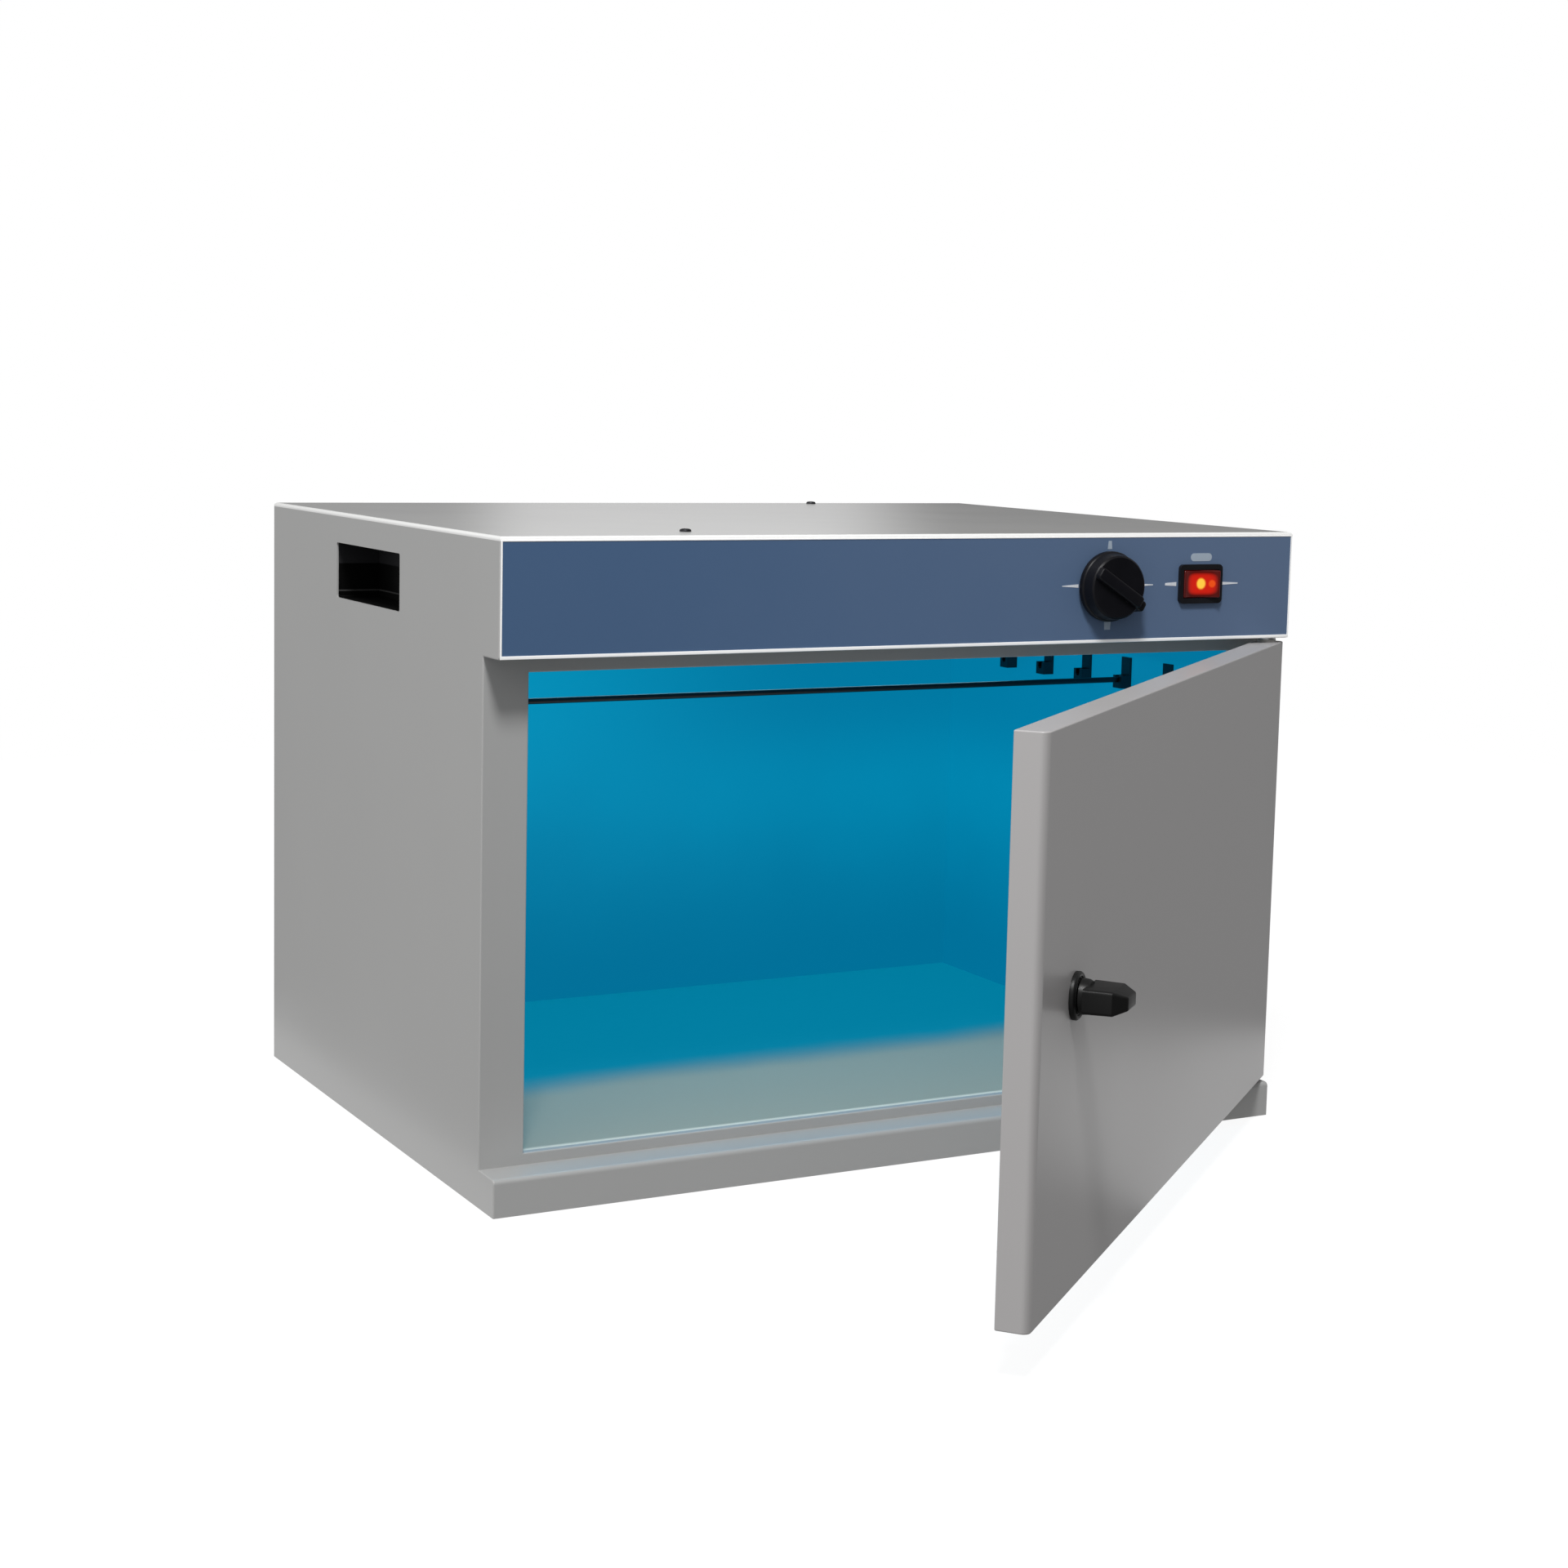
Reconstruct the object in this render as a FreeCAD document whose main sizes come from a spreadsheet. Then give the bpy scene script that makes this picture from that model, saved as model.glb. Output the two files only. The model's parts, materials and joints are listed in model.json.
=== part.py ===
import FreeCAD, Part
import math
import operator
import os
import Sketcher

# A bench cabinet that sterilizes small hung items with an ultraviolet lamp.
# X runs to the viewer's right, Y to the back and Z up.
# The origin is the middle of the base on the surface that the cabinet stands on.
# The door is drawn part open, as the cabinet is shown.

ACROSS = FreeCAD.Vector(1, 0, 0)
DEEP = FreeCAD.Vector(0, 1, 0)
UP = FreeCAD.Vector(0, 0, 1)
TURNED_TO = {
    "x": FreeCAD.Rotation(DEEP, 90),
    "y": FreeCAD.Rotation(ACROSS, -90),
    "z": FreeCAD.Rotation(),
}
SIGNS = {"+": operator.add, "-": operator.sub, "*": operator.mul, "/": operator.truediv}
MATCH_TOLERANCE = 1e-4

doc = FreeCAD.newDocument("uv_sterilizer_box")
sheet_of_sizes = doc.addObject("Spreadsheet::Sheet", "sizes")
nodes = []


class Formula:
    """A number and the sheet formula that gives it, so that plain arithmetic writes both."""

    def __init__(self, text, number):
        self.text = text
        self.number = number

    def __add__(self, other):
        return combine(self, "+", other)

    def __radd__(self, other):
        return combine(other, "+", self)

    def __sub__(self, other):
        return combine(self, "-", other)

    def __rsub__(self, other):
        return combine(other, "-", self)

    def __mul__(self, other):
        return combine(self, "*", other)

    def __rmul__(self, other):
        return combine(other, "*", self)

    def __truediv__(self, other):
        return combine(self, "/", other)

    def __neg__(self):
        return combine(0, "-", self)


def as_formula(value):
    """A plain number as a formula; a formula as it is."""
    return value if isinstance(value, Formula) else Formula(str(value), float(value))


def combine(left, sign, right):
    """Two values joined by a sign, as a formula."""
    left, right = as_formula(left), as_formula(right)
    return Formula(f"({left.text} {sign} {right.text})", SIGNS[sign](left.number, right.number))


def size(alias, number):
    """One driving dimension: a row of the sheet, in millimetres or degrees."""
    size.row += 1
    sheet_of_sizes.set(f"A{size.row}", alias)
    sheet_of_sizes.set(f"B{size.row}", str(number))
    sheet_of_sizes.setAlias(f"B{size.row}", alias)
    return Formula(f"sizes.{alias}", float(number))


size.row = 0

# Cabinet
cabinet_width = size("cabinet_width", 570)
cabinet_depth = size("cabinet_depth", 420)
cabinet_height = size("cabinet_height", 400)
sheet = size("sheet", 1.2)
lid_lip = size("lid_lip", 2.6)
lid_radius = size("lid_radius", 2)
lid_hem = size("lid_hem", 24)
door_recess = size("door_recess", 24)
head_height = size("head_height", 71)
ledge_height = size("ledge_height", 23)
plinth_radius = size("plinth_radius", 3)
fascia_radius = size("fascia_radius", 1.8)
rail_flange = size("rail_flange", 14)
stile_width = size("stile_width", 29)
sill_height = size("sill_height", 7)
header_height = size("header_height", 10)
frame_lip = size("frame_lip", 5)
frame_edge_radius = size("frame_edge_radius", 0.9)
side_edge_radius = size("side_edge_radius", 0.9)
angle_leg = size("angle_leg", 13)
overrun = size("overrun", 1)

# Hand-holes in the sides
grip_from_front = size("grip_from_front", 164)
grip_length = size("grip_length", 120)
grip_from_top = size("grip_from_top", 20)
grip_height = size("grip_height", 36.5)
grip_corner = size("grip_corner", 1.5)
cup_depth = size("cup_depth", 30)
cup_wall = size("cup_wall", 1.6)
cup_flange = size("cup_flange", 7)

# Screws
screw_head_radius = size("screw_head_radius", 3.6)
screw_head_height = size("screw_head_height", 1.8)
screw_shank_radius = size("screw_shank_radius", 1.75)
screw_shank_length = size("screw_shank_length", 7)
screw_play = size("screw_play", 0.25)
lid_screw_left = size("lid_screw_left", 138)
lid_screw_right = size("lid_screw_right", 145)
lid_screw_front = size("lid_screw_front", 42)
lid_screw_back = size("lid_screw_back", 14)
cleat_half_width = size("cleat_half_width", 10)
cleat_drop = size("cleat_drop", 22)
back_screw_margin = size("back_screw_margin", 36)

# Back panel
vent_count = 9
vent_pitch = size("vent_pitch", 12)
vent_width = size("vent_width", 4)
vent_height = size("vent_height", 34)
vent_from_side = size("vent_from_side", 135)
vent_from_top = size("vent_from_top", 20)

# Chamber
liner = size("liner", 0.8)
liner_gap = size("liner_gap", 2)
liner_side_gap = size("liner_side_gap", 12)
chamber_back_gap = size("chamber_back_gap", 22)
support_width = size("support_width", 24)
support_share = 0.55

# Hanging rod and its hooks
rod_radius = size("rod_radius", 2)
rod_drop = size("rod_drop", 34)
rod_end_play = size("rod_end_play", 0.6)
hook_count = 5
hook_first = size("hook_first", 108)
hook_pitch = size("hook_pitch", 50)
rod_place = 1
hook_width = size("hook_width", 10)
hook_rise = size("hook_rise", 16)
hook_plate = size("hook_plate", 2)
hook_reach = size("hook_reach", 9)
hook_seat = size("hook_seat", 4)
hook_horn = size("hook_horn", 3)
rod_play = size("rod_play", 0.2)

# Lamp, its holders and reflector
lamp_radius = size("lamp_radius", 13)
lamp_wall = size("lamp_wall", 0.9)
lamp_end_gap = size("lamp_end_gap", 49.5)
lamp_depth_share = 0.5
lamp_rise = size("lamp_rise", 21)
cap_length = size("cap_length", 9)
pin_radius = size("pin_radius", 1.2)
pin_length = size("pin_length", 7)
pin_spread = size("pin_spread", 12.7)
pin_play = size("pin_play", 0.1)
holder_thickness = size("holder_thickness", 14)
holder_width = size("holder_width", 30)
holder_skirt = size("holder_skirt", 11)
reflector_mouth = size("reflector_mouth", 66)
reflector_rise = size("reflector_rise", 43)
reflector_flange = size("reflector_flange", 9)
reflector_gauge = size("reflector_gauge", 0.7)
reflector_overhang = size("reflector_overhang", 5)

# Ballast, starter, terminal block, inlet and wiring
ballast_length = size("ballast_length", 150)
ballast_width = size("ballast_width", 42)
ballast_height = size("ballast_height", 30)
ballast_foot = size("ballast_foot", 14)
ballast_foot_gauge = size("ballast_foot_gauge", 2)
ballast_from_side = size("ballast_from_side", 70)
gear_from_back = size("gear_from_back", 96)
starter_radius = size("starter_radius", 10.5)
starter_height = size("starter_height", 36)
starter_gap = size("starter_gap", 60)
socket_width = size("socket_width", 30)
socket_height = size("socket_height", 12)
socket_play = size("socket_play", 0.3)
socket_floor = size("socket_floor", 3)
terminal_length = size("terminal_length", 60)
terminal_width = size("terminal_width", 20)
terminal_height = size("terminal_height", 18)
terminal_from_side = size("terminal_from_side", 120)
inlet_from_side = size("inlet_from_side", 80)
inlet_from_top = size("inlet_from_top", 38)
inlet_width = size("inlet_width", 27)
inlet_tall = size("inlet_tall", 19.6)
inlet_depth = size("inlet_depth", 30)
inlet_flange_width = size("inlet_flange_width", 50)
inlet_flange_tall = size("inlet_flange_tall", 24)
inlet_flange_gauge = size("inlet_flange_gauge", 3)
inlet_pocket_margin = size("inlet_pocket_margin", 2)
inlet_pocket_depth = size("inlet_pocket_depth", 17)
inlet_blade = size("inlet_blade", 4)
inlet_blade_gauge = size("inlet_blade_gauge", 2)
inlet_blade_pitch = size("inlet_blade_pitch", 7)
inlet_blade_recess = size("inlet_blade_recess", 6)
inlet_screw_pitch = size("inlet_screw_pitch", 40)
inlet_play = size("inlet_play", 0.3)
wire_radius = size("wire_radius", 1.3)
wire_bend = size("wire_bend", 7)
wire_lane = size("wire_lane", 12)

# Timer
timer_from_side = size("timer_from_side", 150.5)
timer_from_top = size("timer_from_top", 34)
timer_width = size("timer_width", 52)
timer_tall = size("timer_tall", 46)
timer_depth = size("timer_depth", 44)
timer_tab = size("timer_tab", 6)
timer_tab_gauge = size("timer_tab_gauge", 0.8)
timer_tab_height = size("timer_tab_height", 8)
timer_tab_spread = size("timer_tab_spread", 14)
shaft_radius = size("shaft_radius", 3)
shaft_play = size("shaft_play", 0.05)
shaft_hole_play = size("shaft_hole_play", 2)
shaft_sunk = size("shaft_sunk", 14)
timer_screw_pitch = size("timer_screw_pitch", 28)
timer_screw_length = size("timer_screw_length", 6)
knob_radius = size("knob_radius", 22.7)
knob_face_radius = size("knob_face_radius", 20)
knob_skirt = size("knob_skirt", 4)
knob_height = size("knob_height", 12.5)
knob_gap = size("knob_gap", 2.4)
knob_cavity_radius = size("knob_cavity_radius", 18.5)
knob_cavity_depth = size("knob_cavity_depth", 2)
knob_ridge_width = size("knob_ridge_width", 9)
knob_ridge_height = size("knob_ridge_height", 3.5)
knob_nose = size("knob_nose", 3.5)
knob_edge = size("knob_edge", 1.4)
knob_bore_floor = size("knob_bore_floor", 3)
timer_rest_angle = size("timer_rest_angle", 122)

# Switch
switch_from_side = size("switch_from_side", 76.2)
switch_from_top = size("switch_from_top", 33.5)
bezel_width = size("bezel_width", 34)
bezel_tall = size("bezel_tall", 25.6)
bezel_gauge = size("bezel_gauge", 2.6)
bezel_corner = size("bezel_corner", 3)
switch_body_width = size("switch_body_width", 30.4)
switch_body_tall = size("switch_body_tall", 22)
switch_body_depth = size("switch_body_depth", 26)
switch_play = size("switch_play", 0.3)
rocker_width = size("rocker_width", 26.6)
rocker_tall = size("rocker_tall", 17.8)
rocker_proud = size("rocker_proud", 2.2)
rocker_dip = size("rocker_dip", 1.2)
rocker_back = size("rocker_back", 5)
rocker_axis_depth = size("rocker_axis_depth", 3.4)
rocker_side_play = size("rocker_side_play", 1)
rocker_end_play = size("rocker_end_play", 0.4)
trunnion_radius = size("trunnion_radius", 1.5)
trunnion_length = size("trunnion_length", 1.6)
trunnion_play = size("trunnion_play", 0.08)
rocker_tilt = size("rocker_tilt", 8)
pocket_depth = size("pocket_depth", 17)
neon_radius = size("neon_radius", 2.2)
neon_length = size("neon_length", 10)
tab_length = size("tab_length", 7)
tab_width = size("tab_width", 4.8)
tab_gauge = size("tab_gauge", 0.8)
tab_spread = size("tab_spread", 16)

# Panel overlay
overlay_gauge = size("overlay_gauge", 0.4)
overlay_margin = size("overlay_margin", 1.6)
overlay_foot = size("overlay_foot", 2.4)
overlay_head = size("overlay_head", 0.3)

# Door
door_rest_angle = size("door_rest_angle", 40)
door_side_gap = size("door_side_gap", 1)
door_head_gap = size("door_head_gap", 3)
door_foot_gap = size("door_foot_gap", 3)
door_thickness = size("door_thickness", 18)
door_gauge = size("door_gauge", 1.2)
door_edge_radius = size("door_edge_radius", 4.5)
door_rim_radius = size("door_rim_radius", 0.9)
door_fold_radius = size("door_fold_radius", 0.8)
door_lip = size("door_lip", 14)
door_seam = size("door_seam", 0.3)
door_screw_margin = size("door_screw_margin", 60)
pivot_inset = size("pivot_inset", 9)
pivot_depth = size("pivot_depth", 10)
hinge_pin_radius = size("hinge_pin_radius", 3)
hinge_play = size("hinge_play", 0.05)
hinge_float = size("hinge_float", 0.3)
pin_collar_radius = size("pin_collar_radius", 6)
pin_engaged = size("pin_engaged", 11)
hinge_nut_radius = size("hinge_nut_radius", 5.5)
hinge_nut_height = size("hinge_nut_height", 5)
bush_radius = size("bush_radius", 5)
bush_flange_radius = size("bush_flange_radius", 6.2)
bush_flange = size("bush_flange", 1.3)
bush_length = size("bush_length", 13)
bumper_radius = size("bumper_radius", 4)
bumper_play = size("bumper_play", 0.5)
bumper_margin = size("bumper_margin", 34)
bumper_from_edge = size("bumper_from_edge", 23)

# Latch
latch_from_edge = size("latch_from_edge", 64)
latch_height_share = 0.5275
latch_flange_radius = size("latch_flange_radius", 12.6)
latch_flange_gauge = size("latch_flange_gauge", 3)
latch_barrel_radius = size("latch_barrel_radius", 9)
latch_hole_play = size("latch_hole_play", 0.2)
latch_nut_radius = size("latch_nut_radius", 13)
latch_nut_height = size("latch_nut_height", 4)
spindle_radius = size("spindle_radius", 4)
spindle_play = size("spindle_play", 0.06)
latch_neck_radius = size("latch_neck_radius", 9.5)
latch_neck = size("latch_neck", 4)
latch_float = size("latch_float", 0.3)
grip_bar_length = size("grip_bar_length", 28)
grip_bar_height = size("grip_bar_height", 13)
grip_bar_reach = size("grip_bar_reach", 25.5)
grip_bar_round = size("grip_bar_round", 3)
grip_draft = size("grip_draft", 5)
cam_length = size("cam_length", 42)
cam_width = size("cam_width", 15)
cam_gauge = size("cam_gauge", 3)
cam_play = size("cam_play", 0.8)
cam_screw_radius = size("cam_screw_radius", 5)
cam_screw_head = size("cam_screw_head", 2.5)

# Places worked out from the sizes
half = cabinet_width / 2
inner = half - sheet
front = -cabinet_depth / 2
back = cabinet_depth / 2
panel_back = front + sheet
back_inside = back - sheet
frame_face = front + door_recess
frame_rear = frame_face + sheet
wall_top = cabinet_height - lid_lip
lid_underside = cabinet_height - sheet
soffit_height = cabinet_height - head_height
opening_bottom = ledge_height + sill_height
opening_top = soffit_height - header_height
open_half = half - stile_width
chamber_half = open_half + liner_side_gap
floor_top = opening_bottom - liner_gap
roof = opening_top + liner_gap
deck = roof + liner
chamber_back = back - chamber_back_gap
grip_front = front + grip_from_front
grip_back = grip_front + grip_length
grip_top = cabinet_height - grip_from_top
grip_bottom = grip_top - grip_height
vent_left = half - vent_from_side
vent_bottom = cabinet_height - vent_from_top - vent_height
rod_height = opening_top - rod_drop
timer_place = half - timer_from_side
timer_height = cabinet_height - timer_from_top
switch_place = half - switch_from_side
switch_height = cabinet_height - switch_from_top
inlet_place = half - inlet_from_side
inlet_height = cabinet_height - inlet_from_top
terminal_place = half - terminal_from_side
lamp_length = 2 * (chamber_half - lamp_end_gap)
lamp_line = frame_rear + (chamber_back - frame_rear) * lamp_depth_share
lamp_height = deck + lamp_rise
reflector_half = lamp_length / 2 + holder_thickness + reflector_overhang
door_left = pivot_inset + 2 * door_side_gap - cabinet_width
door_right = pivot_inset
door_out = -pivot_depth
door_in = door_thickness - pivot_depth
door_foot = ledge_height + door_foot_gap
door_head = soffit_height - door_head_gap
pivot_x = half - door_side_gap - pivot_inset
pivot_y = front + pivot_depth
latch_x = door_left + latch_from_edge
latch_height = door_foot + (door_head - door_foot) * latch_height_share


def bind(item, prop, value):
    """Ties a property to a formula of the sheet."""
    item.setExpression(prop, as_formula(value).text)


def node(label, item):
    """Names a finished piece; its file takes the same name."""
    item.Label = label
    nodes.append(item)
    return item


def block(name, x, y, z):
    """A block between a low and a high place on each axis."""
    solid = doc.addObject("Part::Box", name)
    for axis, side, (low, high) in zip("xyz", ("Length", "Width", "Height"), (x, y, z)):
        bind(solid, side, high - low)
        bind(solid, f"Placement.Base.{axis}", low)
    return solid


def bar(name, axis, radius, span, across):
    """A round bar along an axis; across gives its centre on the other two axes, in order."""
    low, high = sorted(span, key=lambda end: as_formula(end).number)
    solid = doc.addObject("Part::Cylinder", name)
    solid.Placement = FreeCAD.Placement(FreeCAD.Vector(), TURNED_TO[axis])
    bind(solid, "Radius", radius)
    bind(solid, "Height", high - low)
    places = list(across)
    places.insert("xyz".index(axis), low)
    for letter, place in zip("xyz", places):
        bind(solid, f"Placement.Base.{letter}", place)
    return solid


def joined(name, solids):
    """Solids made one."""
    union = doc.addObject("Part::MultiFuse", name)
    union.Shapes = solids
    union.Refine = True
    return union


def cut(name, base, tools):
    """A solid with tools taken out of it."""
    result = doc.addObject("Part::Cut", name)
    result.Base = base
    result.Tool = tools[0] if len(tools) == 1 else joined(f"{name}_tools", tools)
    return result


def group(name, solids):
    """Separate solids that share one node."""
    together = doc.addObject("Part::Compound", name)
    together.Links = solids
    return together


def edges_at(shape, **places):
    """Numbers of the edges that lie wholly at the given places."""
    found = []
    for number, edge in enumerate(shape.Edges, start=1):
        bounds = edge.BoundBox
        ends = [
            (getattr(bounds, f"{axis.upper()}{end}"), as_formula(place).number)
            for axis, place in places.items()
            for end in ("Min", "Max")
        ]
        if all(abs(end - place) < MATCH_TOLERANCE for end, place in ends):
            found.append(number)
    return found


def rounded(name, base, radius, corners):
    """A solid with a round on the edges at the given corners."""
    doc.recompute()
    numbers = sorted({number for corner in corners for number in edges_at(base.Shape, **corner)})
    fillet = doc.addObject("Part::Fillet", name)
    fillet.Base = base
    fillet.Edges = [(number, radius.number, radius.number) for number in numbers]
    return fillet


def body(name):
    """An empty body."""
    return doc.addObject("PartDesign::Body", name)


def sketch_on(owner, name, role, offset=None):
    """A sketch on one of a body's own planes, moved along the plane's normal."""
    plane = next(feature for feature in owner.Origin.OriginFeatures if feature.Role == role)
    sketch = owner.newObject("Sketcher::SketchObject", name)
    sketch.AttachmentSupport = (plane, [""])
    sketch.MapMode = "FlatFace"
    if offset is not None:
        bind(sketch, "AttachmentOffset.Base.z", offset)
    return sketch


def hold(sketch, geometry, point, place):
    """Fixes a point of a sketch by its two distances from the sketch's origin."""
    for kind, value in zip(("DistanceX", "DistanceY"), place):
        datum = as_formula(value).number
        number = sketch.addConstraint(Sketcher.Constraint(kind, -1, 1, geometry, point, datum))
        bind(sketch, f"Constraints[{number}]", value)


def outline(sketch, points):
    """A closed run of straight lines through points."""
    first = sketch.GeometryCount
    count = len(points)
    corners = [FreeCAD.Vector(*(as_formula(value).number for value in point)) for point in points]
    lines = [Part.LineSegment(corners[i], corners[(i + 1) % count]) for i in range(count)]
    sketch.addGeometry(lines)
    for i in range(count):
        following = first + (i + 1) % count
        sketch.addConstraint(Sketcher.Constraint("Coincident", first + i, 2, following, 1))
    for i, point in enumerate(points):
        hold(sketch, first + i, 1, point)


def rectangle(sketch, across, along):
    """A closed rectangle between low and high places."""
    (left, right), (low, high) = across, along
    outline(sketch, [(left, low), (right, low), (right, high), (left, high)])


def circle(sketch, centre, radius):
    """A full circle."""
    x, y = (as_formula(value).number for value in centre)
    shape = Part.Circle(FreeCAD.Vector(x, y, 0), UP, as_formula(radius).number)
    number = sketch.addGeometry(shape)
    hold(sketch, number, 3, centre)
    datum = as_formula(radius).number
    constraint = sketch.addConstraint(Sketcher.Constraint("Radius", number, datum))
    bind(sketch, f"Constraints[{constraint}]", radius)


def pad(owner, name, sketch, length, draft=None):
    """A sketch drawn out along its normal."""
    feature = owner.newObject("PartDesign::Pad", name)
    feature.Profile = sketch
    bind(feature, "Length", length)
    if draft is not None:
        bind(feature, "TaperAngle", -draft)
    return feature


def pocket(owner, name, sketch, depth=None):
    """A sketch cut right through both ways or, with a depth, that far against its normal."""
    feature = owner.newObject("PartDesign::Pocket", name)
    feature.Profile = sketch
    if depth is None:
        feature.Type = "ThroughAll"
        feature.SideType = "Symmetric"
    else:
        bind(feature, "Length", depth)
    return feature


def soften(owner, name, radius, corners):
    """A round on a body's edges at the given corners."""
    doc.recompute()
    tip = owner.Tip
    numbers = sorted({number for corner in corners for number in edges_at(tip.Shape, **corner)})
    feature = owner.newObject("PartDesign::Fillet", name)
    feature.Base = (tip, [f"Edge{number}" for number in numbers])
    bind(feature, "Radius", radius)
    return feature


def screw(name, axis, outward, seat, across, length):
    """A pan-head screw: its head on a seat, its shank the other way."""
    head = bar(f"{name}_head", axis, screw_head_radius, (seat, seat + outward * screw_head_height), across)
    shank = bar(f"{name}_shank", axis, screw_shank_radius, (seat - outward * length, seat), across)
    return joined(name, [head, shank])


def screw_hole(name, axis, span, across):
    """The clearance hole of a screw, with an overrun at both ends."""
    low, high = span
    return bar(name, axis, screw_shank_radius + screw_play, (low - overrun, high + overrun), across)


def hang_on_door(item):
    """Carries a piece drawn round the hinge axis to the door's shown place."""
    item.Placement = FreeCAD.Placement(FreeCAD.Vector(), FreeCAD.Rotation(UP, door_rest_angle.number))
    bind(item, "Placement.Base.x", pivot_x)
    bind(item, "Placement.Base.y", pivot_y)
    bind(item, "Placement.Rotation.Angle", door_rest_angle)
    return item


def side_panel(name, outer_face):
    """A side: one plate with the C-shaped front of the cabinet and a hand-hole."""
    owner = body(f"{name}_body")
    profile = sketch_on(owner, f"{name}_profile", "YZ_Plane")
    outline(profile, [
        (front, 0),
        (back, 0),
        (back, wall_top),
        (front, wall_top),
        (front, soffit_height),
        (frame_face, soffit_height),
        (frame_face, ledge_height),
        (front, ledge_height),
    ])
    pad(owner, f"{name}_plate", profile, sheet)
    soften(owner, f"{name}_plinth_corner", plinth_radius, [{"y": front, "z": ledge_height}])
    soften(owner, f"{name}_fascia_corner", fascia_radius, [{"y": front, "z": soffit_height}])
    hole = sketch_on(owner, f"{name}_hand_hole", "YZ_Plane")
    rectangle(hole, (grip_front, grip_back), (grip_bottom, grip_top))
    pocket(owner, f"{name}_hand_hole_cut", hole)
    ends = [{"y": y, "z": z} for y in (grip_front, grip_back) for z in (grip_bottom, grip_top)]
    soften(owner, f"{name}_hand_hole_corners", grip_corner, ends)
    outside = as_formula(0) if outer_face.number < 0 else sheet
    folds = [{"x": outside, "y": frame_face}, {"x": outside, "y": front}]
    soften(owner, f"{name}_front_folds", side_edge_radius, folds)
    bind(owner, "Placement.Base.x", outer_face)
    node(name, owner)


def handle_cup(name, side):
    """A black cup behind a hand-hole, with a flange on the inside of the panel."""
    face = side * inner
    depth = face - side * cup_depth
    floor = depth + side * cup_wall
    flange_rear = face - side * cup_wall

    def span(one, other):
        return sorted((one, other), key=lambda end: end.number)

    def bounded(label, reach, margin):
        return block(
            label,
            span(face, reach),
            (grip_front - margin, grip_back + margin),
            (grip_bottom - margin, grip_top + margin),
        )

    shell = joined(f"{name}_shell", [
        bounded(f"{name}_flange", flange_rear, cup_flange),
        bounded(f"{name}_walls", depth, cup_wall),
    ])
    hollow = block(
        f"{name}_hollow",
        span(face + side * overrun, floor),
        (grip_front, grip_back),
        (grip_bottom, grip_top),
    )
    ends = [{"y": y, "z": z} for y in (grip_front, grip_back) for z in (grip_bottom, grip_top)]
    hollow = rounded(f"{name}_hollow_round", hollow, grip_corner, ends)
    node(name, cut(name, shell, [hollow]))


def lid_screw_places():
    """Where the two lid screws stand."""
    return [
        ("front", lid_screw_left - half, front + lid_screw_front),
        ("back", half - lid_screw_right, back - lid_screw_back),
    ]


def top_panel():
    """The lid: a sheet with a narrow lip, hems folded under its sides and rounded upper edges."""
    outside = block("lid_outside", (-half, half), (front, back), (wall_top, cabinet_height))
    corners = [{"z": cabinet_height, "x": x} for x in (-half, half)]
    corners += [{"z": cabinet_height, "y": y} for y in (front, back)]
    outside = rounded("lid_rounded", outside, lid_radius, corners)
    inside = block(
        "lid_inside",
        (-half + lid_hem, half - lid_hem),
        (front + sheet, back - sheet),
        (wall_top - overrun, lid_underside),
    )
    holes = [
        screw_hole(f"lid_hole_{name}", "z", (lid_underside, cabinet_height), (x, y))
        for name, x, y in lid_screw_places()
    ]
    node("top_panel", cut("top_panel", outside, [inside] + holes))


def lid_cleats():
    """Two angle cleats under the lid, one on the fascia and one on the back panel."""
    cleats = []
    walls = {
        "front": (panel_back, panel_back + sheet, front + lid_screw_front + cleat_half_width),
        "back": (back_inside - sheet, back_inside, back - lid_screw_back - cleat_half_width),
    }
    for name, x, y in lid_screw_places():
        low, high, far = walls[name]
        width = (x - cleat_half_width, x + cleat_half_width)
        tongue = (low, far) if name == "front" else (far, high)
        leg = block(f"cleat_leg_{name}", width, (low, high), (lid_underside - cleat_drop, lid_underside))
        shelf = block(f"cleat_shelf_{name}", width, tongue, (lid_underside - sheet, lid_underside))
        hole = screw_hole(f"cleat_hole_{name}", "z", (lid_underside - sheet, lid_underside), (x, y))
        cleats.append(cut(f"cleat_{name}", joined(f"cleat_angle_{name}", [leg, shelf]), [hole]))
    node("lid_cleats", group("lid_cleats", cleats))
    screws = [
        screw(f"lid_screw_{name}", "z", 1, cabinet_height, (x, y), screw_shank_length)
        for name, x, y in lid_screw_places()
    ]
    node("top_screws", group("top_screws", screws))


def folded_rail(name, foot, fold, head, radius):
    """A front plate and a shelf behind its fold edge, as one folded sheet across the cabinet."""
    away = 1 if head.number > fold.number else -1
    shelf_inner = fold + away * sheet
    far = frame_rear + rail_flange
    owner = body(f"{name}_body")
    profile = sketch_on(owner, f"{name}_profile", "YZ_Plane")
    points = [
        (front, fold),
        (front, foot),
        (panel_back, foot),
        (panel_back, shelf_inner),
        (far, shelf_inner),
        (far, fold),
    ]
    outline(profile, points if away < 0 else points[::-1])
    pad(owner, f"{name}_sheet", profile, 2 * inner)
    soften(owner, f"{name}_bend_inside", radius - sheet, [{"y": panel_back, "z": shelf_inner}])
    soften(owner, f"{name}_bend_outside", radius, [{"y": front, "z": fold}])
    bind(owner, "Placement.Base.x", -inner)
    return owner


def hinge_hole(name, heights):
    """The hole that a hinge pin stands in."""
    low, high = heights
    reach = (low - overrun, high + overrun)
    return bar(name, "z", hinge_pin_radius + hinge_play, reach, (pivot_x, pivot_y))


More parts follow.
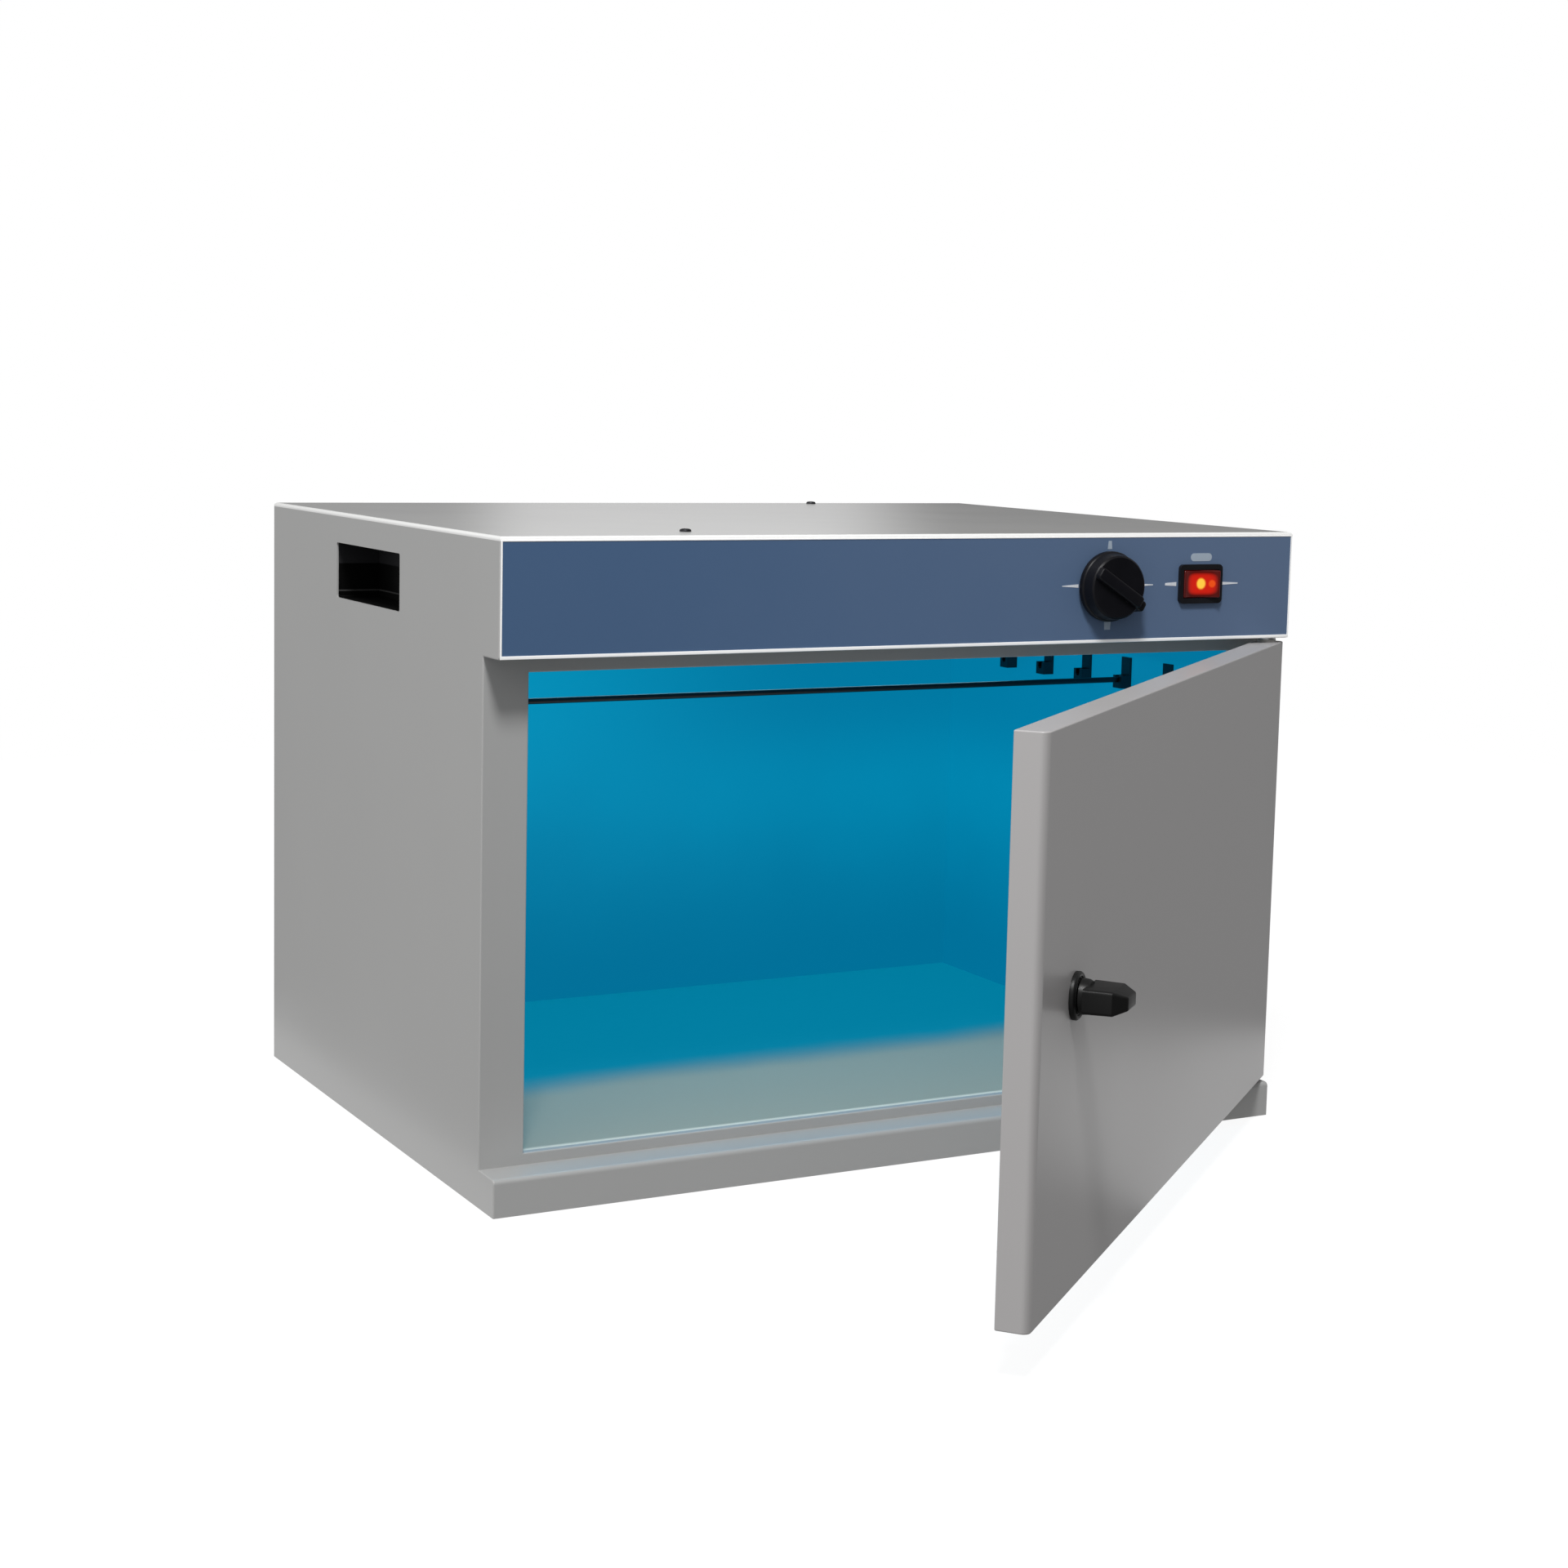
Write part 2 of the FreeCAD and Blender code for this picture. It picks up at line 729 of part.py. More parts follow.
def plinth():
    """The front rail below the door: a plate and a ledge in one folded sheet."""
    rail = folded_rail("plinth", as_formula(0), ledge_height, as_formula(0), plinth_radius)
    hole = hinge_hole("plinth_pin_hole", (ledge_height - sheet, ledge_height))
    node("plinth", cut("plinth", rail, [hole]))


def panel_cuts(name, depth):
    """Holes for the timer's shaft and screws and for the switch, through a sheet of the fascia."""
    low, high = depth
    reach = (low - overrun, high + overrun)
    shaft = bar(f"{name}_shaft", "y", shaft_radius + shaft_hole_play, reach, (timer_place, timer_height))
    opening = block(
        f"{name}_switch",
        centred(switch_place, switch_body_width + 2 * switch_play),
        reach,
        centred(switch_height, switch_body_tall + 2 * switch_play),
    )
    screws = [
        screw_hole(f"{name}_screw_{i}", "y", depth, (x, timer_height))
        for i, x in enumerate(timer_screw_places())
    ]
    return [shaft, opening] + screws


def centred(middle, width):
    """The low and high places of a width about a middle."""
    return (middle - width / 2, middle + width / 2)


def timer_screw_places():
    """The two screws that hold the timer, either side of its shaft."""
    return centred(timer_place, timer_screw_pitch)


def control_panel():
    """The control head's front and soffit in one folded sheet."""
    rail = folded_rail("control_panel", wall_top, soffit_height, wall_top, fascia_radius)
    hole = hinge_hole("soffit_pin_hole", (soffit_height, soffit_height + sheet))
    tools = panel_cuts("fascia_cut", (front, panel_back)) + [hole]
    node("control_panel", cut("control_panel", rail, tools))


def panel_overlay():
    """The coloured film on the control head's front."""
    face = front - overlay_gauge
    film = block(
        "overlay_film",
        (-half + overlay_margin, half - overlay_margin),
        (face, front),
        (soffit_height + overlay_foot, wall_top - overlay_head),
    )
    node("panel_overlay", cut("panel_overlay", film, panel_cuts("overlay_cut", (face, front))))


def front_frame():
    """The recessed ring round the chamber's mouth, with its edges folded in."""
    ring = block("frame_ring", (-inner, inner), (frame_face, frame_rear), (ledge_height, soffit_height))
    collar = block(
        "frame_collar",
        (-open_half - sheet, open_half + sheet),
        (frame_face, frame_face + frame_lip),
        (opening_bottom - sheet, opening_top + sheet),
    )
    mouth = block(
        "frame_mouth",
        (-open_half, open_half),
        (frame_face - overrun, frame_face + frame_lip + overrun),
        (opening_bottom, opening_top),
    )
    frame = cut("frame_square", joined("frame_solid", [ring, collar]), [mouth])
    edges = [{"y": frame_face, "x": x} for x in (-open_half, open_half)]
    edges += [{"y": frame_face, "z": z} for z in (opening_bottom, opening_top)]
    node("front_frame", rounded("front_frame", frame, frame_edge_radius, edges))


def base_panel():
    """The bottom sheet, whose underside is what the cabinet rests on."""
    plate = block("base_plate", (-inner, inner), (panel_back, back_inside), (as_formula(0), sheet))
    node("base_panel", plate)


def back_screw_places():
    """Three screws down each side of the back panel."""
    heights = (back_screw_margin, wall_top / 2, wall_top - back_screw_margin)
    column = inner - angle_leg / 2
    return [(side * column, z) for side in (-1, 1) for z in heights]


def back_panel():
    """The back sheet, with a row of vents, the inlet's cut-out and its screw holes."""
    owner = body("back_panel_body")
    plate = sketch_on(owner, "back_plate_outline", "XZ_Plane", -back)
    rectangle(plate, (-inner, inner), (as_formula(0), wall_top))
    pad(owner, "back_plate", plate, sheet)
    slot = sketch_on(owner, "vent_outline", "XZ_Plane", -back)
    rectangle(slot, centred(-vent_left, vent_width), (vent_bottom, vent_bottom + vent_height))
    first_vent = pocket(owner, "vent", slot)
    doc.recompute()
    row = owner.newObject("PartDesign::LinearPattern", "vent_row")
    row.Originals = [first_vent]
    row.Direction = (slot, ["H_Axis"])
    bind(row, "Length", vent_pitch * (vent_count - 1))
    row.Occurrences = vent_count
    owner.Tip = row
    doc.recompute()
    depth = (back_inside, back)
    holes = [screw_hole(f"back_hole_{i}", "y", depth, place) for i, place in enumerate(back_screw_places())]
    holes += [screw_hole(f"inlet_hole_{i}", "y", depth, place) for i, place in enumerate(inlet_screw_places())]
    holes.append(block(
        "inlet_hole",
        centred(inlet_place, inlet_width + 2 * inlet_play),
        (back_inside - overrun, back + overrun),
        centred(inlet_height, inlet_tall + 2 * inlet_play),
    ))
    node("back_panel", cut("back_panel", owner, holes))


def corner_angles():
    """Upright angles in the two rear corners, which the back panel is screwed to."""
    angles = []
    for side in (-1, 1):
        name = "left" if side < 0 else "right"

        def span(width):
            ends = (side * inner, side * (inner - width))
            return sorted(ends, key=lambda end: end.number)

        upright = (sheet, wall_top)
        along_back = block(f"angle_back_{name}", span(angle_leg), (back_inside - sheet, back_inside), upright)
        along_side = block(f"angle_side_{name}", span(sheet), (back_inside - angle_leg, back_inside), upright)
        holes = [
            screw_hole(f"angle_hole_{name}_{i}", "y", (back_inside - sheet, back_inside), place)
            for i, place in enumerate(back_screw_places())
            if place[0].number * side > 0
        ]
        angles.append(cut(f"angle_{name}", joined(f"angle_sheet_{name}", [along_back, along_side]), holes))
    node("corner_angles", group("corner_angles", angles))
    screws = [
        screw(f"back_screw_{i}", "y", 1, back, place, screw_shank_length)
        for i, place in enumerate(back_screw_places())
    ]
    node("back_screws", group("back_screws", screws))


def chamber():
    """The liner: floor, ceiling with the lamp's slot, two side walls and a back wall."""
    width = (-chamber_half - liner, chamber_half + liner)
    depth = (frame_rear, chamber_back + liner)
    heights = (floor_top, roof)
    node("chamber_floor", block("floor_sheet", width, depth, (floor_top - liner, floor_top)))
    ceiling = block("ceiling_sheet", width, depth, (roof, deck))
    slot = block(
        "lamp_slot",
        (-reflector_half, reflector_half),
        centred(lamp_line, reflector_mouth),
        (roof - overrun, deck + overrun),
    )
    holes = [
        screw_hole(f"ballast_hole_{i}", "z", (roof, deck), place)
        for i, place in enumerate(ballast_screw_places())
    ]
    node("chamber_ceiling", cut("chamber_ceiling", ceiling, [slot] + holes))
    left = (-chamber_half - liner, -chamber_half)
    right = (chamber_half, chamber_half + liner)
    node("chamber_left_wall", block("left_wall_sheet", left, depth, heights))
    node("chamber_right_wall", block("right_wall_sheet", right, depth, heights))
    rear = (chamber_back, chamber_back + liner)
    node("chamber_back_wall", block("back_wall_sheet", (-chamber_half, chamber_half), rear, heights))


def floor_supports():
    """Two channels that carry the chamber's floor on the base."""
    channels = []
    depth = (frame_rear + rail_flange + overrun, chamber_back)
    for side in (-1, 1):
        middle = side * chamber_half * support_share
        solid = block(f"support_{side}", centred(middle, support_width), depth, (sheet, floor_top - liner))
        hollow = block(
            f"support_hollow_{side}",
            centred(middle, support_width - 2 * sheet),
            (depth[0] - overrun, depth[1] + overrun),
            (sheet - overrun, floor_top - liner - sheet),
        )
        channels.append(cut(f"support_channel_{side}", solid, [hollow]))
    node("floor_supports", group("floor_supports", channels))


def rod_hooks(name, side):
    """A row of open hooks on a chamber wall, for the hanging rod."""
    wall = side * chamber_half
    hooks = []

    def span(reach):
        ends = (wall, wall - side * reach)
        return sorted(ends, key=lambda end: end.number)

    for i in range(hook_count):
        y = front + hook_first + hook_pitch * i
        foot = rod_height - rod_radius - rod_play - hook_seat
        plate = block(f"{name}_plate_{i}", span(hook_plate), centred(y, hook_width), (foot, rod_height + hook_rise))
        seat = block(f"{name}_seat_{i}", span(hook_reach), centred(y, hook_width), (foot, rod_height + hook_horn))
        groove_radius = rod_radius + rod_play
        inside = sorted((wall - side * hook_plate, wall - side * (hook_reach + overrun)), key=lambda end: end.number)
        groove = bar(f"{name}_groove_{i}", "x", groove_radius, inside, (y, rod_height))
        throat = block(
            f"{name}_throat_{i}",
            inside,
            centred(y, 2 * groove_radius),
            (rod_height, rod_height + hook_horn + overrun),
        )
        hooks.append(cut(f"{name}_{i}", joined(f"{name}_solid_{i}", [plate, seat]), [groove, throat]))
    node(name, group(name, hooks))


def hanging_rod():
    """The rod that lies in two facing hooks."""
    end = chamber_half - hook_plate - rod_end_play
    y = front + hook_first + hook_pitch * rod_place
    node("hanging_rod", bar("hanging_rod", "x", rod_radius, (-end, end), (y, rod_height)))


def pin_places(side):
    """The two contact pins at one end of the lamp, as spans along X and centres."""
    face = side * lamp_length / 2
    span = (face, face + side * pin_length)
    return span, [(lamp_line, z) for z in centred(lamp_height, pin_spread)]


def lamp():
    """A tubular lamp between two holders, under its reflector."""
    glass_end = lamp_length / 2 - cap_length
    centre = (lamp_line, lamp_height)
    glass = bar("lamp_glass", "x", lamp_radius, (-glass_end, glass_end), centre)
    bore = bar("lamp_bore", "x", lamp_radius - lamp_wall, (-glass_end - overrun, glass_end + overrun), centre)
    node("uv_lamp_tube", cut("uv_lamp_tube", glass, [bore]))
    caps = []
    holders = []
    for side in (-1, 1):
        name = "left" if side < 0 else "right"
        face = side * lamp_length / 2
        ferrule = bar(f"cap_ferrule_{name}", "x", lamp_radius, (face - side * cap_length, face), centre)
        span, places = pin_places(side)
        pins = [bar(f"cap_pin_{name}_{i}", "x", pin_radius, span, place) for i, place in enumerate(places)]
        caps.append(joined(f"cap_{name}", [ferrule] + pins))
        outer = face + side * holder_thickness
        holder = block(
            f"holder_block_{name}",
            sorted((face, outer), key=lambda end: end.number),
            centred(lamp_line, holder_width),
            (lamp_height - holder_skirt, deck + reflector_rise - reflector_gauge),
        )
        reach = (face - side * overrun, face + side * (pin_length + overrun))
        sockets = [
            bar(f"holder_socket_{name}_{i}", "x", pin_radius + pin_play, reach, place)
            for i, place in enumerate(places)
        ]
        holders.append(cut(f"holder_{name}", holder, sockets))
    node("lamp_end_caps", group("lamp_end_caps", caps))
    node("lamp_holders", group("lamp_holders", holders))


def lamp_reflector():
    """A hat-shaped folded trough over the lamp, its flanges on the chamber's ceiling."""
    owner = body("lamp_reflector_body")
    profile = sketch_on(owner, "reflector_profile", "YZ_Plane")
    mouth = reflector_mouth / 2
    wall = mouth + reflector_gauge
    brim = mouth + reflector_flange
    crown = deck + reflector_rise
    lower = deck + reflector_gauge
    right_half = [(brim, deck), (brim, lower), (wall, lower), (wall, crown)]
    left_half = [(-y, z) for y, z in reversed(right_half)]
    inside = [(-mouth, deck), (-mouth, crown - reflector_gauge), (mouth, crown - reflector_gauge), (mouth, deck)]
    outline(profile, [(lamp_line + y, z) for y, z in right_half + left_half + inside])
    pad(owner, "reflector_sheet", profile, 2 * reflector_half)
    bind(owner, "Placement.Base.x", -reflector_half)
    node("lamp_reflector", owner)


def gear_line():
    """The line on the deck that the ballast, starter and terminals stand on."""
    return back - gear_from_back


def ballast_span():
    """The ballast's ends."""
    low = ballast_from_side - half
    return (low, low + ballast_length)


def ballast_screw_places():
    """One screw through each foot of the ballast."""
    low, high = ballast_span()
    return [(low - ballast_foot / 2, gear_line()), (high + ballast_foot / 2, gear_line())]


def ballast():
    """The lamp's choke with its two feet, and the screws that hold it to the deck."""
    low, high = ballast_span()
    core = block("ballast_core", (low, high), centred(gear_line(), ballast_width), (deck, deck + ballast_height))
    feet = block(
        "ballast_feet",
        (low - ballast_foot, high + ballast_foot),
        centred(gear_line(), ballast_width / 2),
        (deck, deck + ballast_foot_gauge),
    )
    seat = deck + ballast_foot_gauge
    holes = [
        screw_hole(f"ballast_foot_hole_{i}", "z", (deck, seat), place)
        for i, place in enumerate(ballast_screw_places())
    ]
    node("ballast", cut("ballast", joined("ballast_solid", [core, feet]), holes))
    length = ballast_foot_gauge + liner + overrun
    screws = [
        screw(f"ballast_screw_{i}", "z", 1, seat, place, length)
        for i, place in enumerate(ballast_screw_places())
    ]
    node("ballast_screws", group("ballast_screws", screws))


def starter_centre():
    """Where the starter stands, beyond the ballast's right end."""
    return ballast_span()[1] + starter_gap


def starter():
    """The starter can in its socket."""
    starter_place = starter_centre()
    centre = (starter_place, gear_line())
    base = deck + socket_floor
    node("starter", bar("starter", "z", starter_radius, (base, base + starter_height), centre))
    solid = block(
        "socket_solid",
        centred(starter_place, socket_width),
        centred(gear_line(), socket_width),
        (deck, deck + socket_height),
    )
    bore = bar(
        "socket_bore",
        "z",
        starter_radius + socket_play,
        (base, deck + socket_height + overrun),
        centre,
    )
    node("starter_socket", cut("starter_socket", solid, [bore]))


def terminal_block():
    """The block where the mains is shared out."""
    solid = block(
        "terminal_block",
        centred(terminal_place, terminal_length),
        centred(gear_line(), terminal_width),
        (deck, deck + terminal_height),
    )
    node("terminal_block", solid)


def inlet_screw_places():
    """One screw each side of the inlet."""
    return [(x, inlet_height) for x in centred(inlet_place, inlet_screw_pitch)]


def power_inlet():
    """The three-blade mains inlet in the back panel, with its two screws."""
    flange = block(
        "inlet_flange",
        centred(inlet_place, inlet_flange_width),
        (back, back + inlet_flange_gauge),
        centred(inlet_height, inlet_flange_tall),
    )
    face = back + inlet_flange_gauge
    housing = block(
        "inlet_housing",
        centred(inlet_place, inlet_width),
        (face - inlet_depth, face),
        centred(inlet_height, inlet_tall),
    )
    well = block(
        "inlet_well",
        centred(inlet_place, inlet_width - 2 * inlet_pocket_margin),
        (face - inlet_pocket_depth, face + overrun),
        centred(inlet_height, inlet_tall - 2 * inlet_pocket_margin),
    )
    holes = [
        screw_hole(f"inlet_flange_hole_{i}", "y", (back, face), place)
        for i, place in enumerate(inlet_screw_places())
    ]
    shell = cut("inlet_shell", joined("inlet_solid", [flange, housing]), [well] + holes)
    blade_places = [
        (inlet_place - inlet_blade_pitch, inlet_height - inlet_blade / 2),
        (inlet_place, inlet_height + inlet_blade / 2),
        (inlet_place + inlet_blade_pitch, inlet_height - inlet_blade / 2),
    ]
    blades = [
        block(
            f"inlet_blade_{i}",
            centred(x, inlet_blade_gauge),
            (face - inlet_pocket_depth - overrun, face - inlet_blade_recess),
            centred(z, inlet_blade),
        )
        for i, (x, z) in enumerate(blade_places)
    ]
    node("power_inlet", joined("power_inlet", [shell] + blades))
    screws = [
        screw(f"inlet_screw_{i}", "y", 1, face, place, screw_shank_length)
        for i, place in enumerate(inlet_screw_places())
    ]
    node("inlet_screws", group("inlet_screws", screws))


def tabs(name, rear, centre, spread, length, width, gauge):
    """Two upright spade terminals behind a control."""
    x, z = centre
    return [
        block(f"{name}_{i}", centred(place, gauge), (rear - overrun, rear + length), centred(z, width))
        for i, place in enumerate(centred(x, spread))
    ]


def timer():
    """The clockwork timer behind the fascia, its shaft, screws and knob."""
    rear = panel_back + timer_depth
    case = block(
        "timer_case",
        centred(timer_place, timer_width),
        (panel_back, rear),
        centred(timer_height, timer_tall),
    )
    spades = tabs(
        "timer_spade", rear, (timer_place, timer_height), timer_tab_spread, timer_tab, timer_tab_height, timer_tab_gauge
    )
    axis = (timer_place, timer_height)
    shaft_end = panel_back + shaft_sunk
    bore = bar("timer_bore", "y", shaft_radius + shaft_play, (panel_back - overrun, shaft_end + shaft_play), axis)
    threads = [
        screw_hole(f"timer_thread_{i}", "y", (panel_back, panel_back + timer_screw_length), (x, timer_height))
        for i, x in enumerate(timer_screw_places())
    ]
    node("timer_body", cut("timer_body", joined("timer_solid", [case] + spades), [bore] + threads))
    knob_base = front - overlay_gauge - knob_gap
    knob_face = knob_base - knob_height
    shaft_tip = knob_face + knob_bore_floor
    node("timer_shaft", bar("timer_shaft", "y", shaft_radius, (shaft_tip, shaft_end), axis))
    seat = front - overlay_gauge
    screws = [
        screw(f"timer_screw_{i}", "y", -1, seat, (x, timer_height), timer_screw_length)
        for i, x in enumerate(timer_screw_places())
    ]
    node("timer_screws", group("timer_screws", screws))
    knob(knob_base)


def knob(base):
    """The timer's knob: a skirt, a drafted grip, a raised ridge and a nose that points."""
    owner = body("timer_knob_body")
    profile = sketch_on(owner, "knob_profile", "XY_Plane")
    bore_end = knob_bore_floor - knob_height
    outline(profile, [
        (shaft_radius, -knob_cavity_depth),
        (knob_cavity_radius, -knob_cavity_depth),
        (knob_cavity_radius, as_formula(0)),
        (knob_radius, as_formula(0)),
        (knob_radius, -knob_skirt),
        (knob_face_radius, -knob_height),
        (as_formula(0), -knob_height),
        (as_formula(0), bore_end),
        (shaft_radius, bore_end),
    ])
    turned = owner.newObject("PartDesign::Revolution", "knob_turned")
    turned.Profile = profile
    turned.ReferenceAxis = (profile, ["V_Axis"])
    doc.recompute()
    ridge = sketch_on(owner, "knob_ridge_outline", "XZ_Plane", knob_height - overrun)
    rectangle(ridge, centred(as_formula(0), knob_ridge_width), (-knob_face_radius, knob_face_radius))
    pad(owner, "knob_ridge", ridge, knob_ridge_height + overrun)
    nose = sketch_on(owner, "knob_nose_outline", "XZ_Plane", knob_skirt / 2)
    rectangle(nose, centred(as_formula(0), knob_ridge_width), (knob_face_radius / 2, knob_radius + knob_nose))
    pad(owner, "knob_nose", nose, knob_height - knob_skirt)
    soften(owner, "knob_ridge_edges", knob_edge, [{"y": -knob_height - knob_ridge_height}])
    owner.Placement = FreeCAD.Placement(FreeCAD.Vector(), FreeCAD.Rotation(DEEP, timer_rest_angle.number))
    bind(owner, "Placement.Base.x", timer_place)
    bind(owner, "Placement.Base.y", base)
    bind(owner, "Placement.Base.z", timer_height)
    bind(owner, "Placement.Rotation.Angle", timer_rest_angle)
    node("timer_knob", owner)


def rocker_axis_y():
    """Depth of the rocker's tilting axis."""
    return front - overlay_gauge - bezel_gauge + rocker_axis_depth


def switch():
    """The switch: a bezelled housing, a lit rocker on two trunnions and the lamp behind it."""
    seat = front - overlay_gauge
    face = seat - bezel_gauge
    rear = seat + switch_body_depth
    bezel = block(
        "switch_bezel_square",
        centred(switch_place, bezel_width),
        (face, seat),
        centred(switch_height, bezel_tall),
    )
    sides = [
        {"x": x, "z": z}
        for x in centred(switch_place, bezel_width)
        for z in centred(switch_height, bezel_tall)
    ]
    bezel = rounded("switch_bezel", bezel, bezel_corner, sides)
    case = block(
        "switch_case",
        centred(switch_place, switch_body_width),
        (seat, rear),
        centred(switch_height, switch_body_tall),
    )
    spades = tabs("switch_spade", rear, (switch_place, switch_height), tab_spread, tab_length, tab_width, tab_gauge)
    well = block(
        "switch_well",
        centred(switch_place, rocker_width + 2 * rocker_side_play),
        (face - overrun, face + pocket_depth),
        centred(switch_height, rocker_tall + 2 * rocker_end_play),
    )
    axis_y = rocker_axis_y()
    reach = rocker_tall / 2 + trunnion_length + overrun / 2
    sockets = bar(
        "trunnion_sockets",
        "z",
        trunnion_radius + trunnion_play,
        (switch_height - reach, switch_height + reach),
        (switch_place, axis_y),
    )
    solid = joined("switch_solid", [bezel, case] + spades)
    node("switch_housing", cut("switch_housing", solid, [well, sockets]))
    floor = face + pocket_depth
    node("neon_lamp", bar(
        "neon_lamp",
        "x",
        neon_radius,
        centred(switch_place, neon_length),
        (floor - neon_radius, switch_height),
    ))
    rocker()


def rocker():
    """The rocker's lens, dished across its face, tilted to its on side."""
    owner = body("switch_rocker_body")
    profile = sketch_on(owner, "rocker_profile", "XY_Plane", -rocker_tall / 2)
    proud = -rocker_axis_depth - rocker_proud
    wide = rocker_width / 2
    outline(profile, [
        (-wide, proud),
        (as_formula(0), proud + rocker_dip),
        (wide, proud),
        (wide, rocker_back - rocker_axis_depth),
        (-wide, rocker_back - rocker_axis_depth),
    ])
    pad(owner, "rocker_lens", profile, rocker_tall)
    ends = sketch_on(owner, "trunnion_outline", "XY_Plane", -rocker_tall / 2 - trunnion_length)
    circle(ends, (as_formula(0), as_formula(0)), trunnion_radius)
    pad(owner, "rocker_trunnions", ends, rocker_tall + 2 * trunnion_length)
    owner.Placement = FreeCAD.Placement(FreeCAD.Vector(), FreeCAD.Rotation(UP, -rocker_tilt.number))
    bind(owner, "Placement.Base.x", switch_place)
    bind(owner, "Placement.Base.y", rocker_axis_y())
    bind(owner, "Placement.Base.z", switch_height)
    bind(owner, "Placement.Rotation.Angle", -rocker_tilt)
    node("switch_rocker", owner)


def wire(points):
    """A wire through chosen corners: straight runs joined by tangent arcs."""
    corners = [FreeCAD.Vector(*(as_formula(value).number for value in point)) for point in points]
    bend = wire_bend.number
    edges = []
    start = corners[0]
    for before, corner, after in zip(corners, corners[1:], corners[2:]):
        arriving = (corner - before).normalize()
        leaving = (after - corner).normalize()
        turn = arriving.getAngle(leaving)
        trim = bend * math.tan(turn / 2)
        enter = corner - arriving * trim
        leave = corner + leaving * trim
        sag = bend / math.cos(turn / 2) - bend
        middle = corner + (leaving - arriving).normalize() * sag
        edges.append(Part.LineSegment(start, enter).toShape())
        edges.append(Part.Arc(enter, middle, leave).toShape())
        start = leave
    edges.append(Part.LineSegment(start, corners[-1]).toShape())
    path = Part.Wire(edges)
    section = Part.Wire([Part.Circle(corners[0], corners[1] - corners[0], wire_radius.number).toShape()])
    return path.makePipeShell([section], True, False)


def wiring():
    """The wires of the upper compartment, each from one terminal to the next."""
    line = gear_line()
    low = deck + terminal_height / 2 + wire_radius
    lowest = deck + 2 * wire_radius
    over = deck + reflector_rise + wire_lane
    behind = line + terminal_width / 2 + 2 * wire_lane
    before = line - ballast_width / 2 - wire_lane
    inlet_rear = back + inlet_flange_gauge - inlet_depth
    timer_rear = panel_back + timer_depth
    switch_rear = front - overlay_gauge + switch_body_depth
    ahead = timer_rear + 2 * wire_lane
    holder_face = lamp_length / 2 + holder_thickness
    gap = holder_face + wire_lane
    ballast_low, ballast_high = ballast_span()
    starter_side = starter_centre() + socket_width / 2
    supply = terminal_place + wire_lane
    return_side = terminal_place - wire_lane
    routes = [
        [
            (inlet_place, inlet_rear, inlet_height),
            (inlet_place, behind, inlet_height),
            (terminal_place, behind, low),
            (terminal_place, line + terminal_width / 2, low),
        ],
        [
            (supply, line - terminal_width / 2, low),
            (supply, before, low),
            (supply, before, over),
            (switch_place, ahead + 2 * wire_lane, over),
            (switch_place, ahead, switch_height),
            (switch_place, switch_rear, switch_height),
        ],
        [
            (switch_place - wire_lane, switch_rear, switch_height),
            (switch_place - wire_lane, timer_rear + wire_lane, switch_height),
            (timer_place + wire_lane, timer_rear + wire_lane, timer_height),
            (timer_place + wire_lane, timer_rear, timer_height),
        ],
        [
            (timer_place - wire_lane, timer_rear, timer_height),
            (timer_place - wire_lane, timer_rear + wire_lane, timer_height),
            (timer_place - wire_lane, ahead + 2 * wire_lane, over),
            (return_side - 3 * wire_lane, before, over),
            (return_side - 3 * wire_lane, before, low),
            (ballast_high + 2 * wire_lane, before, low),
            (ballast_high + 2 * wire_lane, line, low),
            (ballast_high, line, low),
        ],
        [
            (ballast_low, line, low),
            (-gap, line, low),
            (-gap, lamp_line, lamp_height),
            (-holder_face, lamp_line, lamp_height),
        ],
        [
            (starter_side, line, lowest),
            (starter_side + wire_lane, line, lowest),
            (starter_side + wire_lane, before, lowest),
            (gap, before, lowest),
            (gap, lamp_line, lamp_height),
            (holder_face, lamp_line, lamp_height),
        ],
    ]
    loom = doc.addObject("Part::Feature", "wiring")
    loom.Shape = Part.makeCompound([wire(points) for points in routes])
    node("wiring", loom)


def hinge():
    """Pins that stand in the soffit and the ledge, with their nuts, and the door's bushes."""
    centre = (pivot_x, pivot_y)
    below = ledge_height - sheet
    above = soffit_height + sheet
    collar_top = door_foot - bush_flange - hinge_float
    collar_foot = door_head + bush_flange + hinge_float
    lower = joined("lower_hinge_pin", [
        bar("lower_pin", "z", hinge_pin_radius, (below - hinge_nut_height, door_foot + pin_engaged), centre),
        bar("lower_pin_collar", "z", pin_collar_radius, (ledge_height, collar_top), centre),
    ])
    upper = joined("upper_hinge_pin", [
        bar("upper_pin", "z", hinge_pin_radius, (door_head - pin_engaged, above + hinge_nut_height), centre),
        bar("upper_pin_collar", "z", pin_collar_radius, (collar_foot, soffit_height), centre),
    ])
    node("lower_hinge_pin", lower)
    node("upper_hinge_pin", upper)
    nuts = []
    for name, span in (("lower", (below - hinge_nut_height, below)), ("upper", (above, above + hinge_nut_height))):
        outside = hexagon(f"{name}_nut_outline", hinge_nut_radius, span, centre)
        reach = (span[0] - overrun, span[1] + overrun)
        thread = bar(f"{name}_nut_thread", "z", hinge_pin_radius + hinge_play, reach, centre)
        nuts.append(cut(f"{name}_nut", outside, [thread]))
    node("hinge_nuts", group("hinge_nuts", nuts))
    door_bush("lower_door_bush", door_foot, 1)
    door_bush("upper_door_bush", door_head, -1)


